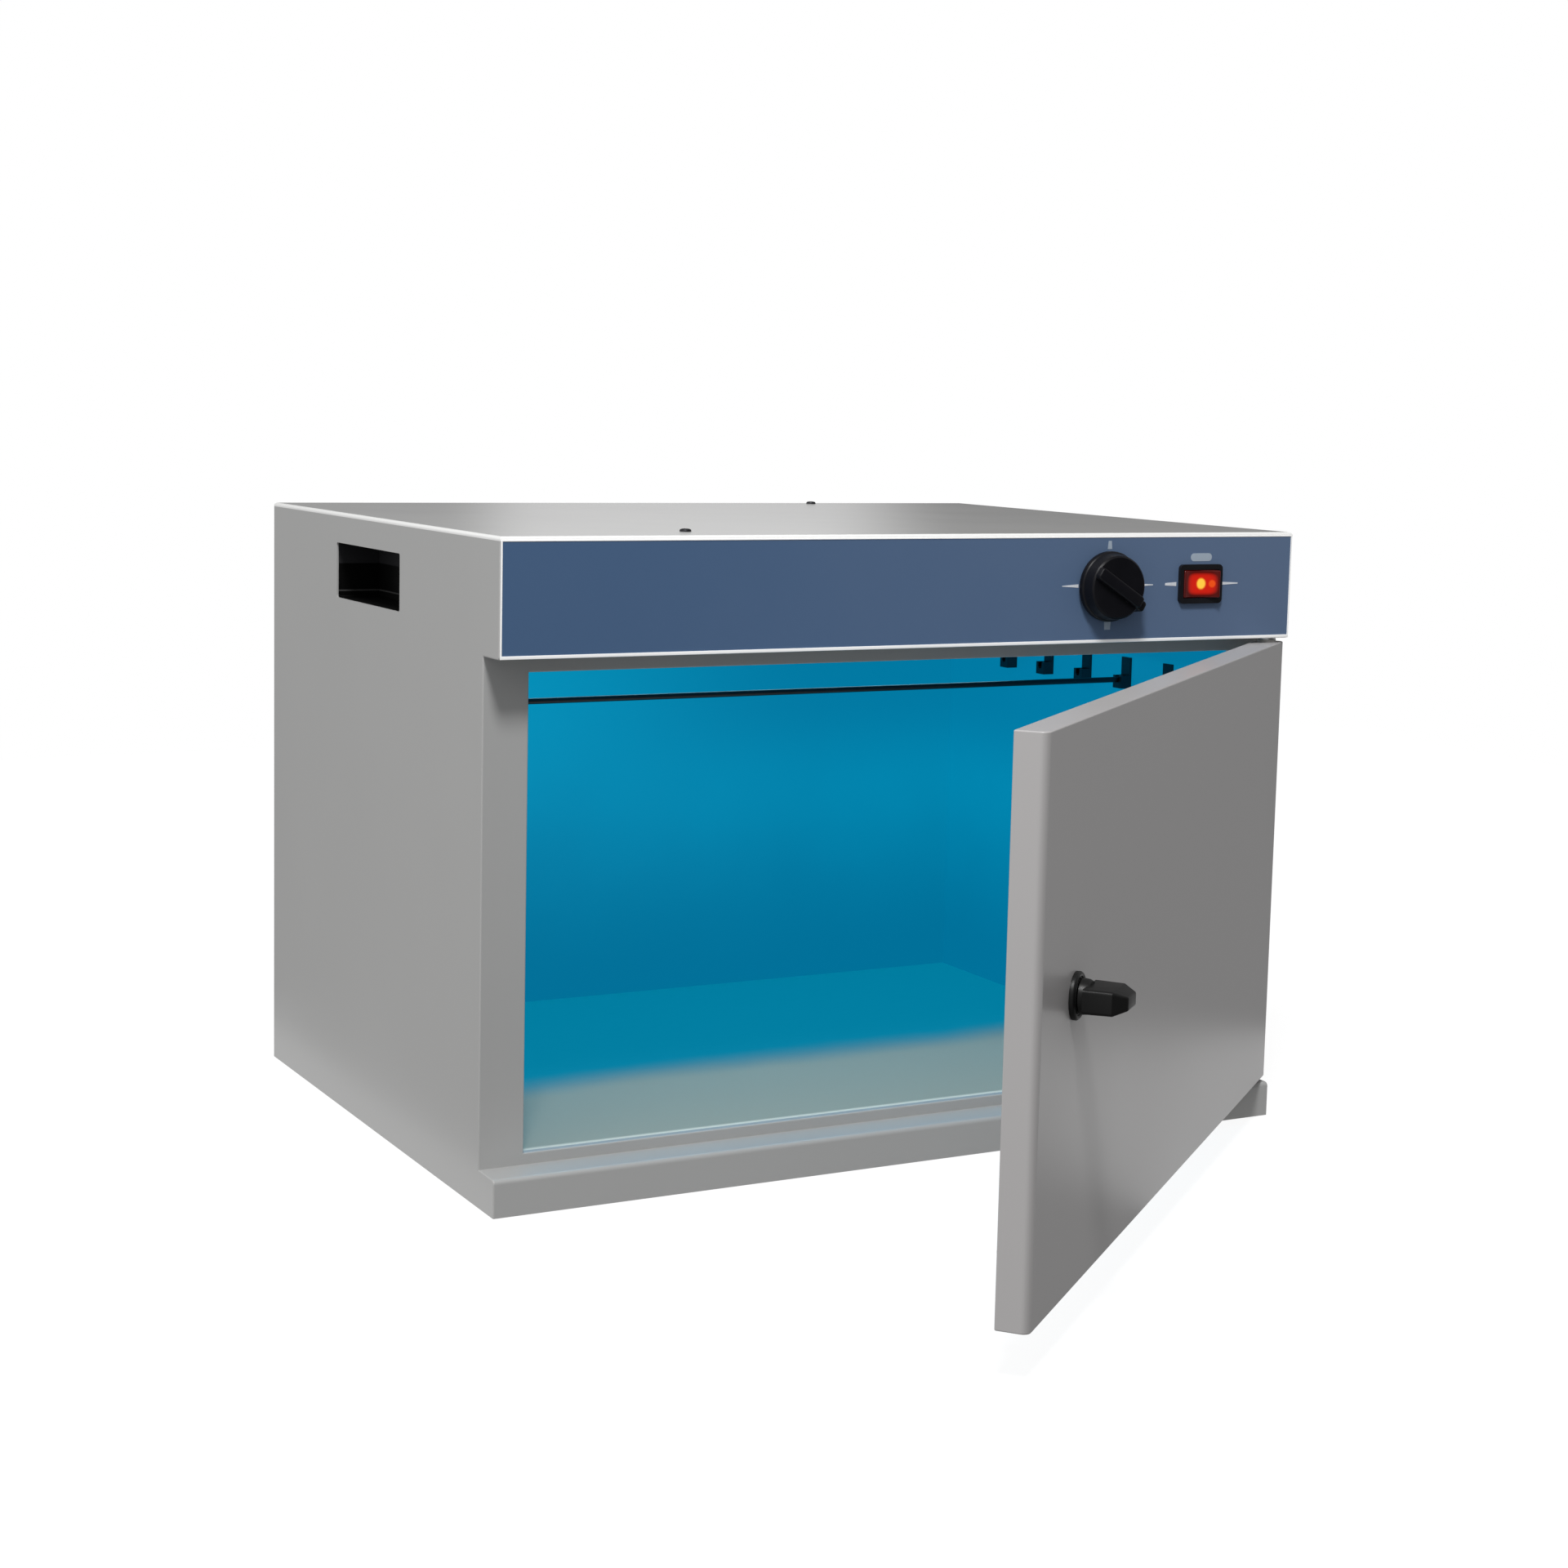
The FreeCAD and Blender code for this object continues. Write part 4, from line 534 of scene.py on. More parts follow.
@dataclass(frozen=True)
class RedLens(Finish):
    """Translucent red rocker with the neon lamp glowing behind it."""

    centre: Point
    spot: Point
    half: Point = (13.3, 8.9)
    squareness: float = 4.0
    rim: Point = (0.0, 0.6)
    glow: Pair = ((0.55, 0.010, 0.003), (0.02, 0.0, 0.0))
    electrodes: tuple[tuple[float, float, Colour], ...] = (
        (0.0, 3.9, (1.05, 0.60, 0.06)), (7.6, 2.7, (0.75, 0.075, 0.006)),
    )
    flatness: float = 0.8
    core: float = 0.55
    base: Pair = ((0.06, 0.002, 0.001), (0.10, 0.004, 0.002))
    roughness: float = 0.22

    def wire(self, shader: Shader) -> None:
        """Yellow at the neon's two electrodes, red round them, dark at the rim."""
        across, _, up = shader.axes()
        right, rise = across - self.centre[0], up - self.centre[1]
        rim = (right / self.half[0]) ** self.squareness + (rise / self.half[1]) ** self.squareness
        glow = shader.mix(rim.rise(*self.rim), *self.glow)
        for offset, reach, colour in self.electrodes:
            aside, above = across - (self.spot[0] + offset), up - self.spot[1]
            near = (aside * aside + above * above * self.flatness) ** 0.5
            glow = shader.mix(near.rise(reach, self.core * reach), glow, colour)
        cloud = shader.noise(size=5.0)
        shader.coat({
            "Base Color": shader.mix(cloud, *self.base),
            "Roughness": self.roughness + cloud.swing(0.08),
            "Emission Color": glow,
            "Emission Strength": 1.0,
        })


@dataclass(frozen=True)
class GlowingGlass(Finish):
    """Glass of a lit lamp, dull towards its blackened ends."""

    glow: Colour
    strength: float
    half_length: float
    dull_ends: Point = (4.0, 30.0)
    dull_tone: float = 0.15
    base: Pair = ((0.70, 0.82, 0.90), (0.80, 0.90, 0.95))
    roughness: float = 0.105

    def wire(self, shader: Shader) -> None:
        """Even glow between the ends."""
        across, _, _ = shader.axes()
        haze = shader.noise(size=20.0)
        dark, lit = (self.half_length - end for end in self.dull_ends)
        inside = abs(across).rise(dark, lit)
        shader.coat({
            "Base Color": shader.mix(haze, *self.base),
            "Roughness": self.roughness + haze.swing(0.05),
            "Emission Color": shader.mix(inside, shade(self.glow, self.dull_tone), self.glow),
            "Emission Strength": self.strength,
        })


class Shop:
    """The finishes of this cabinet, by what they cover."""

    CABINET = Enamel("cabinet_enamel", (0.44, 0.44, 0.435))
    # The lid's enamel carries a painted highlight along its folds.
    LID = EdgedEnamel("lid_enamel", (0.44, 0.44, 0.435), roughness=0.235)
    DOOR = Enamel("door_enamel", (0.460, 0.448, 0.447), roughness=0.305)
    FILM = PanelFilm("panel_film", left=(0.066, 0.130, 0.250), right=(0.118, 0.180, 0.300))
    INK = Ink("dial_ink", (0.86, 0.89, 0.94))
    # The white trim glows a little: a painted highlight that makes the bead look brighter.
    TRIM = Enamel("white_trim", (0.92, 0.92, 0.91), roughness=0.22, glow=0.14)
    WALL_SHEET = LitLiner("liner_wall", Face.WALL)
    FLOOR_SHEET = LitLiner("liner_floor", Face.FLOOR)
    CEILING_SHEET = LitLiner("liner_ceiling", Face.CEILING)
    GALVANISED = Spangled("galvanised_sheet", (0.62, 0.63, 0.64))
    CUP = CupMoulding("cup_moulding", (0.002, 0.002, 0.002), roughness=0.55, specular=0.08)
    SOCKET = Moulding("socket_moulding", (0.008, 0.008, 0.010), roughness=0.40, specular=0.25)
    KNOB = Moulding("knob_moulding", (0.004, 0.004, 0.006), roughness=0.36, grain=0.5, specular=0.20)
    LATCH = Moulding("latch_moulding", (0.006, 0.006, 0.006), roughness=0.40, grain=0.6, specular=0.26)
    BLACK_STEEL = Plated("black_oxide", (0.05, 0.05, 0.055), roughness=0.42)
    ZINC = Plated("zinc_plate", (0.62, 0.63, 0.64), roughness=0.32)
    ROD = Plated("dark_rod", (0.05, 0.055, 0.06), roughness=0.35, stretch=(0.05, 1.0, 1.0))
    CAP = Plated("lamp_cap", (0.75, 0.75, 0.76), roughness=0.28)
    LENS = RedLens("red_lens", centre=(208.8, 366.5), spot=(208.4, 366.7))
    LAMP = GlowingGlass("lamp_glass", (0.35, 0.80, 1.0), strength=6.0, half_length=218.5)
    NEON = GlowingGlass("neon_glass", (1.0, 0.30, 0.05), strength=3.0, half_length=400.0)
    WHITE = Moulding("white_moulding", (0.74, 0.73, 0.70), roughness=0.40)
    BALLAST = Enamel("ballast_enamel", (0.70, 0.70, 0.68), roughness=0.35)
    WIRE = Moulding("wire_sleeve", (0.035, 0.035, 0.04), roughness=0.45, grain=0.4)
    RUBBER = Moulding("bumper_rubber", (0.020, 0.020, 0.020), roughness=0.70, grain=0.4)


def linked(name: str, data: bpy.types.ID) -> Object:
    """Puts a new object in the scene.

    Args:
        name: Its name.
        data: Its mesh, light or camera.

    Returns:
        The object.
    """
    made = bpy.data.objects.new(name, data)
    bpy.context.scene.collection.objects.link(made)
    return made


class Blank:
    """A mesh on the bench, in millimetres about its own origin."""

    def __init__(self) -> None:
        """Starts with an empty mesh."""
        self.mesh = bmesh.new()

    def turned(self, profile: Sequence[Point], steps: int = 72) -> None:
        """Spins a profile about Z into a solid.

        Args:
            profile: Radius and height of each corner, from the axis to the axis.
            steps: Number of segments in the full turn.
        """
        corners = [self.mesh.verts.new((radius, 0.0, height)) for radius, height in profile]
        sides = [self.mesh.edges.new(pair) for pair in zip(corners, corners[1:])]
        bmesh.ops.spin(
            self.mesh, geom=corners + sides, cent=(0, 0, 0), axis=(0, 0, 1), dvec=(0, 0, 0),
            angle=2 * pi, steps=steps, use_merge=True, use_duplicate=False,
        )
        bmesh.ops.remove_doubles(self.mesh, verts=self.mesh.verts[:], dist=0.001)

    def plate(self, width: float, height: float, corner: float = 0.0, segments: int = 5) -> list[BMFace]:
        """A flat plate across Z, centred on the origin.

        Args:
            width: Size along X.
            height: Size along Y.
            corner: Radius of its corners.
            segments: Segments in each corner.

        Returns:
            The plate's face.
        """
        before = set(self.mesh.faces)
        made = bmesh.ops.create_grid(self.mesh, x_segments=1, y_segments=1, size=0.5)["verts"]
        bmesh.ops.scale(self.mesh, vec=(width, height, 1.0), verts=made)
        if corner:
            bmesh.ops.bevel(
                self.mesh, geom=made, offset=corner, offset_type="OFFSET", affect="VERTICES",
                segments=segments, profile=0.5, material=-1,
            )
        return [face for face in self.mesh.faces if face not in before]

    def raised(
        self, faces: Sequence[BMFace], rise: float, taper: Point = (1.0, 1.0), radius: float = 0.0
    ) -> list[BMFace]:
        """Extrudes faces along Z.

        Args:
            faces: The faces that rise.
            rise: How far, down if negative.
            taper: Scale of the raised faces about the Z axis, along X and Y.
            radius: Width of the round at their edges.

        Returns:
            The raised faces.
        """
        made = bmesh.ops.extrude_face_region(self.mesh, geom=list(faces))["geom"]
        corners = [each for each in made if isinstance(each, BMVert)]
        bmesh.ops.translate(self.mesh, vec=(0.0, 0.0, rise), verts=corners)
        bmesh.ops.scale(self.mesh, vec=(*taper, 1.0), verts=corners)
        crown = [each for each in made if isinstance(each, BMFace)]
        if radius:
            self.softened({edge for face in crown for edge in face.edges}, radius)
        return crown

    def softened(self, edges: Iterable[BMEdge], radius: float, segments: int = 3) -> None:
        """Rounds edges.

        Args:
            edges: The edges.
            radius: Width of the round.
            segments: Segments across it.
        """
        bmesh.ops.bevel(
            self.mesh, geom=list(edges), offset=radius, offset_type="OFFSET", affect="EDGES",
            segments=segments, profile=0.5, material=-1, clamp_overlap=True,
        )

    def outward(self) -> None:
        """Turns all faces outwards."""
        bmesh.ops.recalc_face_normals(self.mesh, faces=self.mesh.faces[:])

    def moved(self, matrix: Matrix) -> "Blank":
        """Moves all of the mesh and gives it back."""
        bmesh.ops.transform(self.mesh, matrix=matrix, verts=self.mesh.verts[:])
        return self

    def joined(self, other: "Blank", matrix: Matrix) -> None:
        """Adds a moved copy of another blank.

        Args:
            other: The blank that is copied.
            matrix: Where the copy goes.
        """
        loose = bpy.data.meshes.new("loose")
        other.mesh.to_mesh(loose)
        loose.transform(matrix)
        self.mesh.from_mesh(loose)
        bpy.data.meshes.remove(loose)

    def carved(self, cutter: "Blank") -> None:
        """Cuts another blank's shape out of this one.

        Args:
            cutter: The shape that is taken away.
        """
        stock, tool = self._loose_object("stock"), cutter._loose_object("tool")
        cutting = stock.modifiers.new("cut", "BOOLEAN")
        cutting.operation, cutting.solver, cutting.object = "DIFFERENCE", "EXACT", tool
        seen = stock.evaluated_get(bpy.context.evaluated_depsgraph_get())
        result = bpy.data.meshes.new_from_object(seen)
        self.mesh.clear()
        self.mesh.from_mesh(result)
        bpy.data.meshes.remove(result)
        for each in (stock, tool):
            mesh = each.data
            bpy.data.objects.remove(each)
            bpy.data.meshes.remove(mesh)

    def _loose_object(self, name: str) -> Object:
        """A scratch object of this mesh, with its faces turned outwards."""
        self.outward()
        mesh = bpy.data.meshes.new(name)
        self.mesh.to_mesh(mesh)
        return linked(name, mesh)

    def piece(self, name: str, finish: Finish, smooth: float = 32.0) -> Object:
        """Makes the blank a finished object in metres.

        Args:
            name: The piece's name.
            finish: Its finish.
            smooth: Angle in degrees up to which faces shade as one.

        Returns:
            The object, at the origin.
        """
        self.outward()
        bmesh.ops.scale(self.mesh, vec=(MM, MM, MM), verts=self.mesh.verts[:])
        mesh = bpy.data.meshes.new(name)
        self.mesh.to_mesh(mesh)
        self.mesh.free()
        mesh.shade_smooth()
        mesh.set_sharp_from_angle(angle=radians(smooth))
        mesh.materials.append(finish.mixed())
        return linked(name, mesh)


def at(x: float, y: float, z: float) -> Matrix:
    """A move to a place."""
    return Matrix.Translation((x, y, z))


def turn(axis: str, degrees: float) -> Matrix:
    """A turn about a frame axis."""
    return Matrix.Rotation(radians(degrees), 4, axis)


def pivot(joint: str) -> Vector:
    """Where a joint's axis passes at rest, in millimetres."""
    rows = frame["record"]["behaviour"]["joints"]
    return next(Vector(row["pos_m"]) for row in rows if row["name"] == joint) / MM


def box(node: str) -> tuple[Vector, Vector]:
    """Lowest and highest corners of a node at rest, in millimetres."""
    low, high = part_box(node)
    return Vector(low) / MM, Vector(high) / MM


class Assembly(ABC):
    """Nodes and pieces of the cabinet that are finished together."""

    @abstractmethod
    def dress(self) -> None:
        """Gives the nodes their finishes."""

    def build(self) -> None:
        """Models the pieces; an assembly of plain nodes has none."""

    @staticmethod
    def coat(finish: Finish, *nodes: str) -> None:
        """Gives carried-over nodes a finish.

        Args:
            finish: The finish.
            nodes: The nodes' names.
        """
        for name in nodes:
            for slot in frame["nodes"][name].material_slots:
                slot.material = finish.mixed()
            LOG.info("dressed %s with %s", name, finish.name)

    @staticmethod
    def fit(piece: Object, body: str, slot: str, *nodes: str) -> None:
        """Fixes a new piece to its body.

        Args:
            piece: The piece, in place.
            body: The body that it moves with.
            slot: The record's material slot; not used.
            nodes: The nodes that it stands for.
        """
        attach(piece, body)
        if nodes:
            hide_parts(*nodes)
        LOG.info("fitted %s to %s", piece.name, body)


@dataclass
class CrossScrew:
    """A pan-head screw with a cross recess, its seat at Z 0; the dome's corners are shares of the head."""

    head: float = 3.6
    rise: float = 1.8
    shank: float = 1.9
    length: float = 8.0
    dome: Outline = ((1.0, 0.0), (1.0, 0.35), (0.93, 0.66), (0.74, 0.87), (0.42, 0.98), (0.0, 1.0))
    recess: float = 0.32
    slot: float = 0.95

    def blank(self) -> Blank:
        """Turns the screw and cuts its recess.

        Returns:
            The screw's blank.
        """
        made = Blank()
        made.turned([
            (0.0, -self.length), (self.shank * 0.6, -self.length), (self.shank, -self.length + 1.2),
            (self.shank, 0.0), *((out * self.head, up * self.rise) for out, up in self.dome),
        ], steps=36)
        for across in (0.0, 90.0):
            arm = Blank()
            arm.raised(arm.plate(self.head, self.slot), rise=2.0, taper=(1.25, 1.0))
            made.carved(arm.moved(at(0, 0, self.recess * self.rise) @ turn("Z", across)))
        return made

    def placed(self, places: Iterable[Matrix]) -> Blank:
        """Copies of the screw.

        Args:
            places: Where each one goes.

        Returns:
            One blank of all of them.
        """
        made, screw = Blank(), self.blank()
        for place in places:
            made.joined(screw, place)
        screw.mesh.free()
        return made


@dataclass
class Cabinet(Assembly):
    """Outer panels, lid and what holds them."""

    lid: float = 400.0
    lid_screws: Outline = ((-147.0, -168.0), (140.0, 196.0))
    lid_turn: float = 20.0
    back_face: float = 210.0
    back_screw_x: float = 277.3
    back_screw_z: tuple[float, ...] = (36.0, 198.7, 361.4)
    back_turns: Point = (31.0, 17.0)

    def dress(self) -> None:
        """Enamel outside, galvanised inside, black cups in the sides."""
        self.coat(
            Shop.CABINET, "left_side_panel", "right_side_panel", "back_panel", "plinth",
            "front_frame", "control_panel",
        )
        self.coat(Shop.LID, "top_panel")
        self.coat(Shop.GALVANISED, "base_panel", "corner_angles", "lid_cleats", "floor_supports")
        self.coat(Shop.CUP, "left_handle_cup", "right_handle_cup")
        self.coat(Shop.ZINC, "upper_hinge_pin", "lower_hinge_pin", "hinge_nuts")

    def build(self) -> None:
        """Screws of the lid and of the back panel, each stopped at its own angle."""
        by_row, by_side = self.back_turns
        lid = CrossScrew().placed(
            at(x, y, self.lid) @ turn("Z", self.lid_turn + x) for x, y in self.lid_screws
        )
        back = CrossScrew().placed(
            at(side * self.back_screw_x, self.back_face, z) @ turn("X", -90.0)
            @ turn("Z", by_row * row + by_side * side)
            for side in (-1.0, 1.0) for row, z in enumerate(self.back_screw_z)
        )
        self.fit(lid.piece("lid_screws", Shop.BLACK_STEEL), "cabinet", "black_screw", "top_screws")
        self.fit(back.piece("back_panel_screws", Shop.ZINC), "cabinet", "fixings", "back_screws")


@dataclass(frozen=True)
class Tick:
    """A printed tick: bearing clockwise from up, distances of its ends, width, share of it far out."""

    bearing: float
    near: float
    far: float
    width: float
    taper: float


@dataclass
class ControlHead(Assembly):
    """Blue panel with the timer knob, the lit switch and their printed marks.

    The knob's skirt goes inwards and up from its seat's rim, its crown inwards and down from its top's.
    """

    face: float = -210.4
    fascia: float = -210.0
    dial: Point = (136.6, 366.3)
    knob_seat: float = -212.8
    knob_radius: float = 22.7
    knob_depth: float = 12.5
    skirt: Outline = ((0.6, 0.0), (0.0, 0.6), (0.0, 3.4), (0.4, 4.1), (1.0, 4.5), (1.2, 5.0))
    crown: Outline = ((1.9, 2.4), (2.3, 0.9), (3.4, 0.0), (5.2, 0.2))
    bar_sunk: float = 6.0
    ridge: float = 3.5
    pointer: float = 122.0
    rocker: Point = (26.6, 17.8)
    rocker_bend: float = 38.0
    rocker_body: float = 9.0
    rocker_reach: float = 3.4
    rocker_rest: float = -8.0
    ink: float = 0.12
    dial_ticks: tuple[Tick, ...] = (
        Tick(0.0, 23.5, 28.8, 3.4, 0.7), Tick(180.0, 23.5, 28.6, 5.0, 0.9),
        Tick(270.0, 23.5, 36.0, 2.2, 0.2), Tick(90.0, 23.5, 35.0, 1.8, 0.3),
    )
    switch_ticks: tuple[Tick, ...] = (
        Tick(270.0, 18.5, 27.5, 2.6, 0.6), Tick(90.0, 19.0, 31.5, 1.9, 0.4),
    )
    mark_place: Point = (1.0, 17.4)
    bead: Triple = (0.9, 2.0, 0.9)
    bead_rise: float = 0.8

    def dress(self) -> None:
        """Film, black mouldings and the timer's metal."""
        self.coat(Shop.FILM, "panel_overlay")
        self.coat(Shop.SOCKET, "switch_housing", "timer_body")
        self.coat(Shop.NEON, "neon_lamp")
        self.coat(Shop.ZINC, "timer_screws", "timer_shaft")

    def build(self) -> None:
        """Knob, rocker, printed marks and the panel's trim."""
        self.fit(self._knob(), "timer_control", "black_knob", "timer_knob")
        self.fit(self._rocker(), "switch_key", "red_lens", "switch_rocker")
        self.fit(self._marks(), "cabinet", "panel_film")
        self.fit(self._trim(), "cabinet", "cabinet_paint")

    def _knob(self) -> Object:
        """A stepped disc with a tapered finger bar whose nose is the pointer.

        Returns:
            The knob.
        """
        made, radius, depth = Blank(), self.knob_radius, self.knob_depth
        made.turned([
            (0.0, 0.0), *((radius - inset, rise) for inset, rise in self.skirt),
            *((radius - inset, depth - drop) for inset, drop in self.crown), (0.0, depth - 0.4),
        ])
        bar = Blank()
        foot = bar.plate(width=10.5, height=2 * radius - 5.0, corner=2.5)
        bar.raised(foot, self.ridge + self.bar_sunk, taper=(0.72, 0.95), radius=1.0)
        made.joined(bar, at(0, 0, depth - self.bar_sunk))
        nose = Blank()
        foot = nose.plate(width=9.0, height=12.0, corner=2.5)
        nose.raised(foot, depth - 3.0, taper=(0.75, 0.9), radius=1.2)
        made.joined(nose, at(0, radius - 2.5, 2.0))
        axis = pivot("timer_turn")
        made.moved(at(axis.x, self.knob_seat, axis.z) @ turn("Y", self.pointer) @ turn("X", 90.0))
        return made.piece("timer_grip", Shop.KNOB)

    def _rocker(self) -> Object:
        """A dished rocker key at its rest tilt.

        Returns:
            The rocker.
        """
        made, (width, height), bend = Blank(), self.rocker, self.rocker_bend
        sweep = 2.0 * asin(width / 2 / bend)
        low, high = (made.mesh.verts.new((0.0, side * height / 2, -bend)) for side in (-1, 1))
        edge = made.mesh.edges.new((low, high))
        made.moved(Matrix.Rotation(-sweep / 2, 4, "Y"))
        bmesh.ops.spin(
            made.mesh, geom=[low, high, edge], cent=(0, 0, 0), axis=(0, 1, 0), dvec=(0, 0, 0),
            angle=sweep, steps=14, use_merge=False, use_duplicate=False,
        )
        made.moved(at(0, 0, bend))
        made.outward()
        made.raised(made.mesh.faces[:], -self.rocker_body)
        made.outward()
        made.mesh.normal_update()
        sharp = [edge for edge in made.mesh.edges if edge.calc_face_angle(0.0) > radians(50.0)]
        made.softened(sharp, radius=0.7)
        tilted = turn("Z", self.rocker_rest) @ at(0, -self.rocker_reach, 0) @ turn("X", 90.0)
        made.moved(at(*pivot("switch_rock")) @ tilted)
        return made.piece("switch_lens", Shop.LENS)

    def _marks(self) -> Object:
        """Printed ticks round the knob and beside the switch, and a bare mark above it.

        Returns:
            The marks, a thin layer on the film.
        """
        made, switch = Blank(), pivot("switch_rock")
        for tick in self.dial_ticks:
            self._tick(made, self.dial, tick)
        for tick in self.switch_ticks:
            self._tick(made, (switch.x, switch.z), tick)
        mark, (right, above) = Blank(), self.mark_place
        mark.raised(mark.plate(width=17.0, height=5.2, corner=2.55, segments=8), self.ink)
        made.joined(mark, at(switch.x + right, self.face, switch.z + above) @ turn("X", 90.0))
        return made.piece("dial_marks", Shop.INK)

    def _tick(self, made: Blank, centre: Point, tick: Tick) -> None:
        """Prints one tick.

        Args:
            made: The blank that takes it.
            centre: What it points at, along X and Z.
            tick: The tick.
        """
        mark = Blank()
        face = mark.plate(tick.width, tick.far - tick.near)
        outer = [vert for vert in mark.mesh.verts if vert.co.y > 0]
        bmesh.ops.scale(mark.mesh, vec=(tick.taper, 1.0, 1.0), verts=outer)
        mark.raised(face, self.ink)
        place = at(centre[0], self.face, centre[1]) @ turn("X", 90.0) @ turn("Z", -tick.bearing)
        made.joined(mark, place @ at(0, (tick.near + tick.far) / 2, 0))

    def _trim(self) -> Object:
        """A pale bead round the film, on the fascia's bare margin; its finish glows a little, a painted
        highlight.

        Returns:
            The bead.
        """
        made, (side, foot, head) = Blank(), self.bead
        low, high = box("panel_overlay")
        sheet = made.plate(high.x - low.x + 2 * side, high.z - low.z + 2 * side)
        bmesh.ops.inset_region(
            made.mesh, faces=sheet, thickness=side, use_boundary=True, use_even_offset=True
        )
        bmesh.ops.delete(made.mesh, geom=sheet, context="FACES_ONLY")
        for edge, extra in ((-1.0, foot - side), (1.0, head - side)):
            outer = max(edge * vert.co.y for vert in made.mesh.verts) - side / 2
            rim = [vert for vert in made.mesh.verts if edge * vert.co.y > outer]
            bmesh.ops.translate(made.mesh, vec=(0.0, edge * extra, 0.0), verts=rim)
        crown = made.raised(made.mesh.faces[:], self.bead_rise)
        made.softened({edge for face in crown for edge in face.edges if edge.is_manifold}, radius=0.25)
        made.moved(at((low.x + high.x) / 2, self.fascia, (low.z + high.z) / 2) @ turn("X", 90.0))
        return made.piece("panel_bead", Shop.TRIM)


@dataclass
class Chamber(Assembly):
    """The lit liner, the lamp above it and the hanging rod."""

    def dress(self) -> None:
        """Liner sheets, lamp, rod and the electrical parts over the ceiling."""
        self.coat(Shop.WALL_SHEET, "chamber_back_wall", "chamber_left_wall", "chamber_right_wall")
        self.coat(Shop.FLOOR_SHEET, "chamber_floor")
        self.coat(Shop.CEILING_SHEET, "chamber_ceiling", "lamp_reflector")
        self.coat(Shop.LAMP, "uv_lamp_tube")
        self.coat(Shop.CAP, "lamp_end_caps", "starter")
        self.coat(Shop.WHITE, "lamp_holders", "starter_socket", "terminal_block")
        self.coat(Shop.BALLAST, "ballast")
        self.coat(Shop.ZINC, "ballast_screws")
        self.coat(Shop.WIRE, "wiring")
        self.coat(Shop.ROD, "hanging_rod", "left_rod_hooks", "right_rod_hooks")


@dataclass
class Door(Assembly):
    """The hinged door with its latch; the flange's rim goes inwards and down from its top's corner."""

    open_angle: float = 40.0
    outer: float = -10.0
    inner: float = 8.0
    flange_radius: float = 12.6
    flange_rise: float = 3.0
    flange_rim: Outline = (
        (0.0, 1.2), (0.5, 0.4), (1.3, 0.0), (2.3, 0.3), (2.7, 1.0), (3.2, 1.0), (3.5, 0.2),
    )
    float_gap: float = 0.3
    neck: float = 4.0
    neck_radius: float = 9.5
    neck_shoulder: float = 1.5
    bar: Triple = (28.0, 13.0, 22.5)
    screw_x: tuple[float, ...] = (-490.8, -275.0, -59.2)
    screw_z: tuple[float, ...] = (34.2, 317.8)

    def dress(self) -> None:
        """Enamel, bushes, bumpers and the latch's metal."""
        self.coat(Shop.DOOR, "door_outer_pan", "door_inner_panel")
        self.coat(Shop.WHITE, "upper_door_bush", "lower_door_bush")
        self.coat(Shop.RUBBER, "door_bumpers")
        self.coat(Shop.ZINC, "latch_nut", "latch_spindle", "latch_cam", "cam_screw")

    def build(self) -> None:
        """Latch flange, latch grip and the screws of the inner panel."""
        self.fit(self._flange(), "door", "black_knob", "latch_flange")
        self.fit(self._grip(), "latch", "black_knob", "latch_knob")
        self.fit(self._screws(), "door", "fixings", "door_screws")

    def on_door(self, x: float, y: float, z: float) -> Matrix:
        """A place on the door, given as on the closed door from its pivot."""
        hinge = pivot("door_hinge")
        return at(hinge.x, hinge.y, 0.0) @ turn("Z", self.open_angle) @ at(x, y, z)

    def on_latch(self, y: float) -> Matrix:
        """A place on the latch's axis, its Z pointing out of the door."""
        latch, hinge = pivot("latch_turn"), pivot("door_hinge")
        return self.on_door(-(latch - hinge).xy.length, y, latch.z) @ turn("X", 90.0)

    def _flange(self) -> Object:
        """A round escutcheon with a rolled rim and a sunk ring.

        Returns:
            The flange.
        """
        made, radius, rise = Blank(), self.flange_radius, self.flange_rise
        rim = [(radius - inset, rise - drop) for inset, drop in self.flange_rim]
        made.turned([(0.0, 0.0), (radius, 0.0), *rim, (0.0, rise)])
        made.moved(self.on_latch(self.outer))
        return made.piece("latch_escutcheon", Shop.LATCH)

    def _grip(self) -> Object:
        """A winged grip on a round neck, its free end chamfered all round.

        Returns:
            The grip.
        """
        made, (long, tall, reach) = Blank(), self.bar
        rim, top = self.neck_radius, self.neck + self.neck_shoulder
        made.turned([
            (0.0, 0.0), (rim - 0.4, 0.0), (rim, 0.5), (rim - 0.4, self.neck), (rim - 1.2, top), (0.0, top),
        ])
        wing = Blank()
        shoulder = wing.raised(wing.plate(long, tall, corner=2.0), 0.68 * reach, taper=(0.95, 0.97))
        wing.raised(shoulder, 0.32 * reach, taper=(0.58, 0.55), radius=0.8)
        made.joined(wing, at(0, 0, self.neck))
        made.moved(self.on_latch(self.outer - self.flange_rise - self.float_gap))
        return made.piece("latch_grip", Shop.LATCH)

    def _screws(self) -> Object:
        """Screws that hold the inner panel in the pan.

        Returns:
            The screws.
        """
        made = CrossScrew().placed(
            self.on_door(x, self.inner, z) @ turn("X", -90.0) @ turn("Z", x + z)
            for x in self.screw_x for z in self.screw_z
        )
        return made.piece("inner_panel_screws", Shop.ZINC)


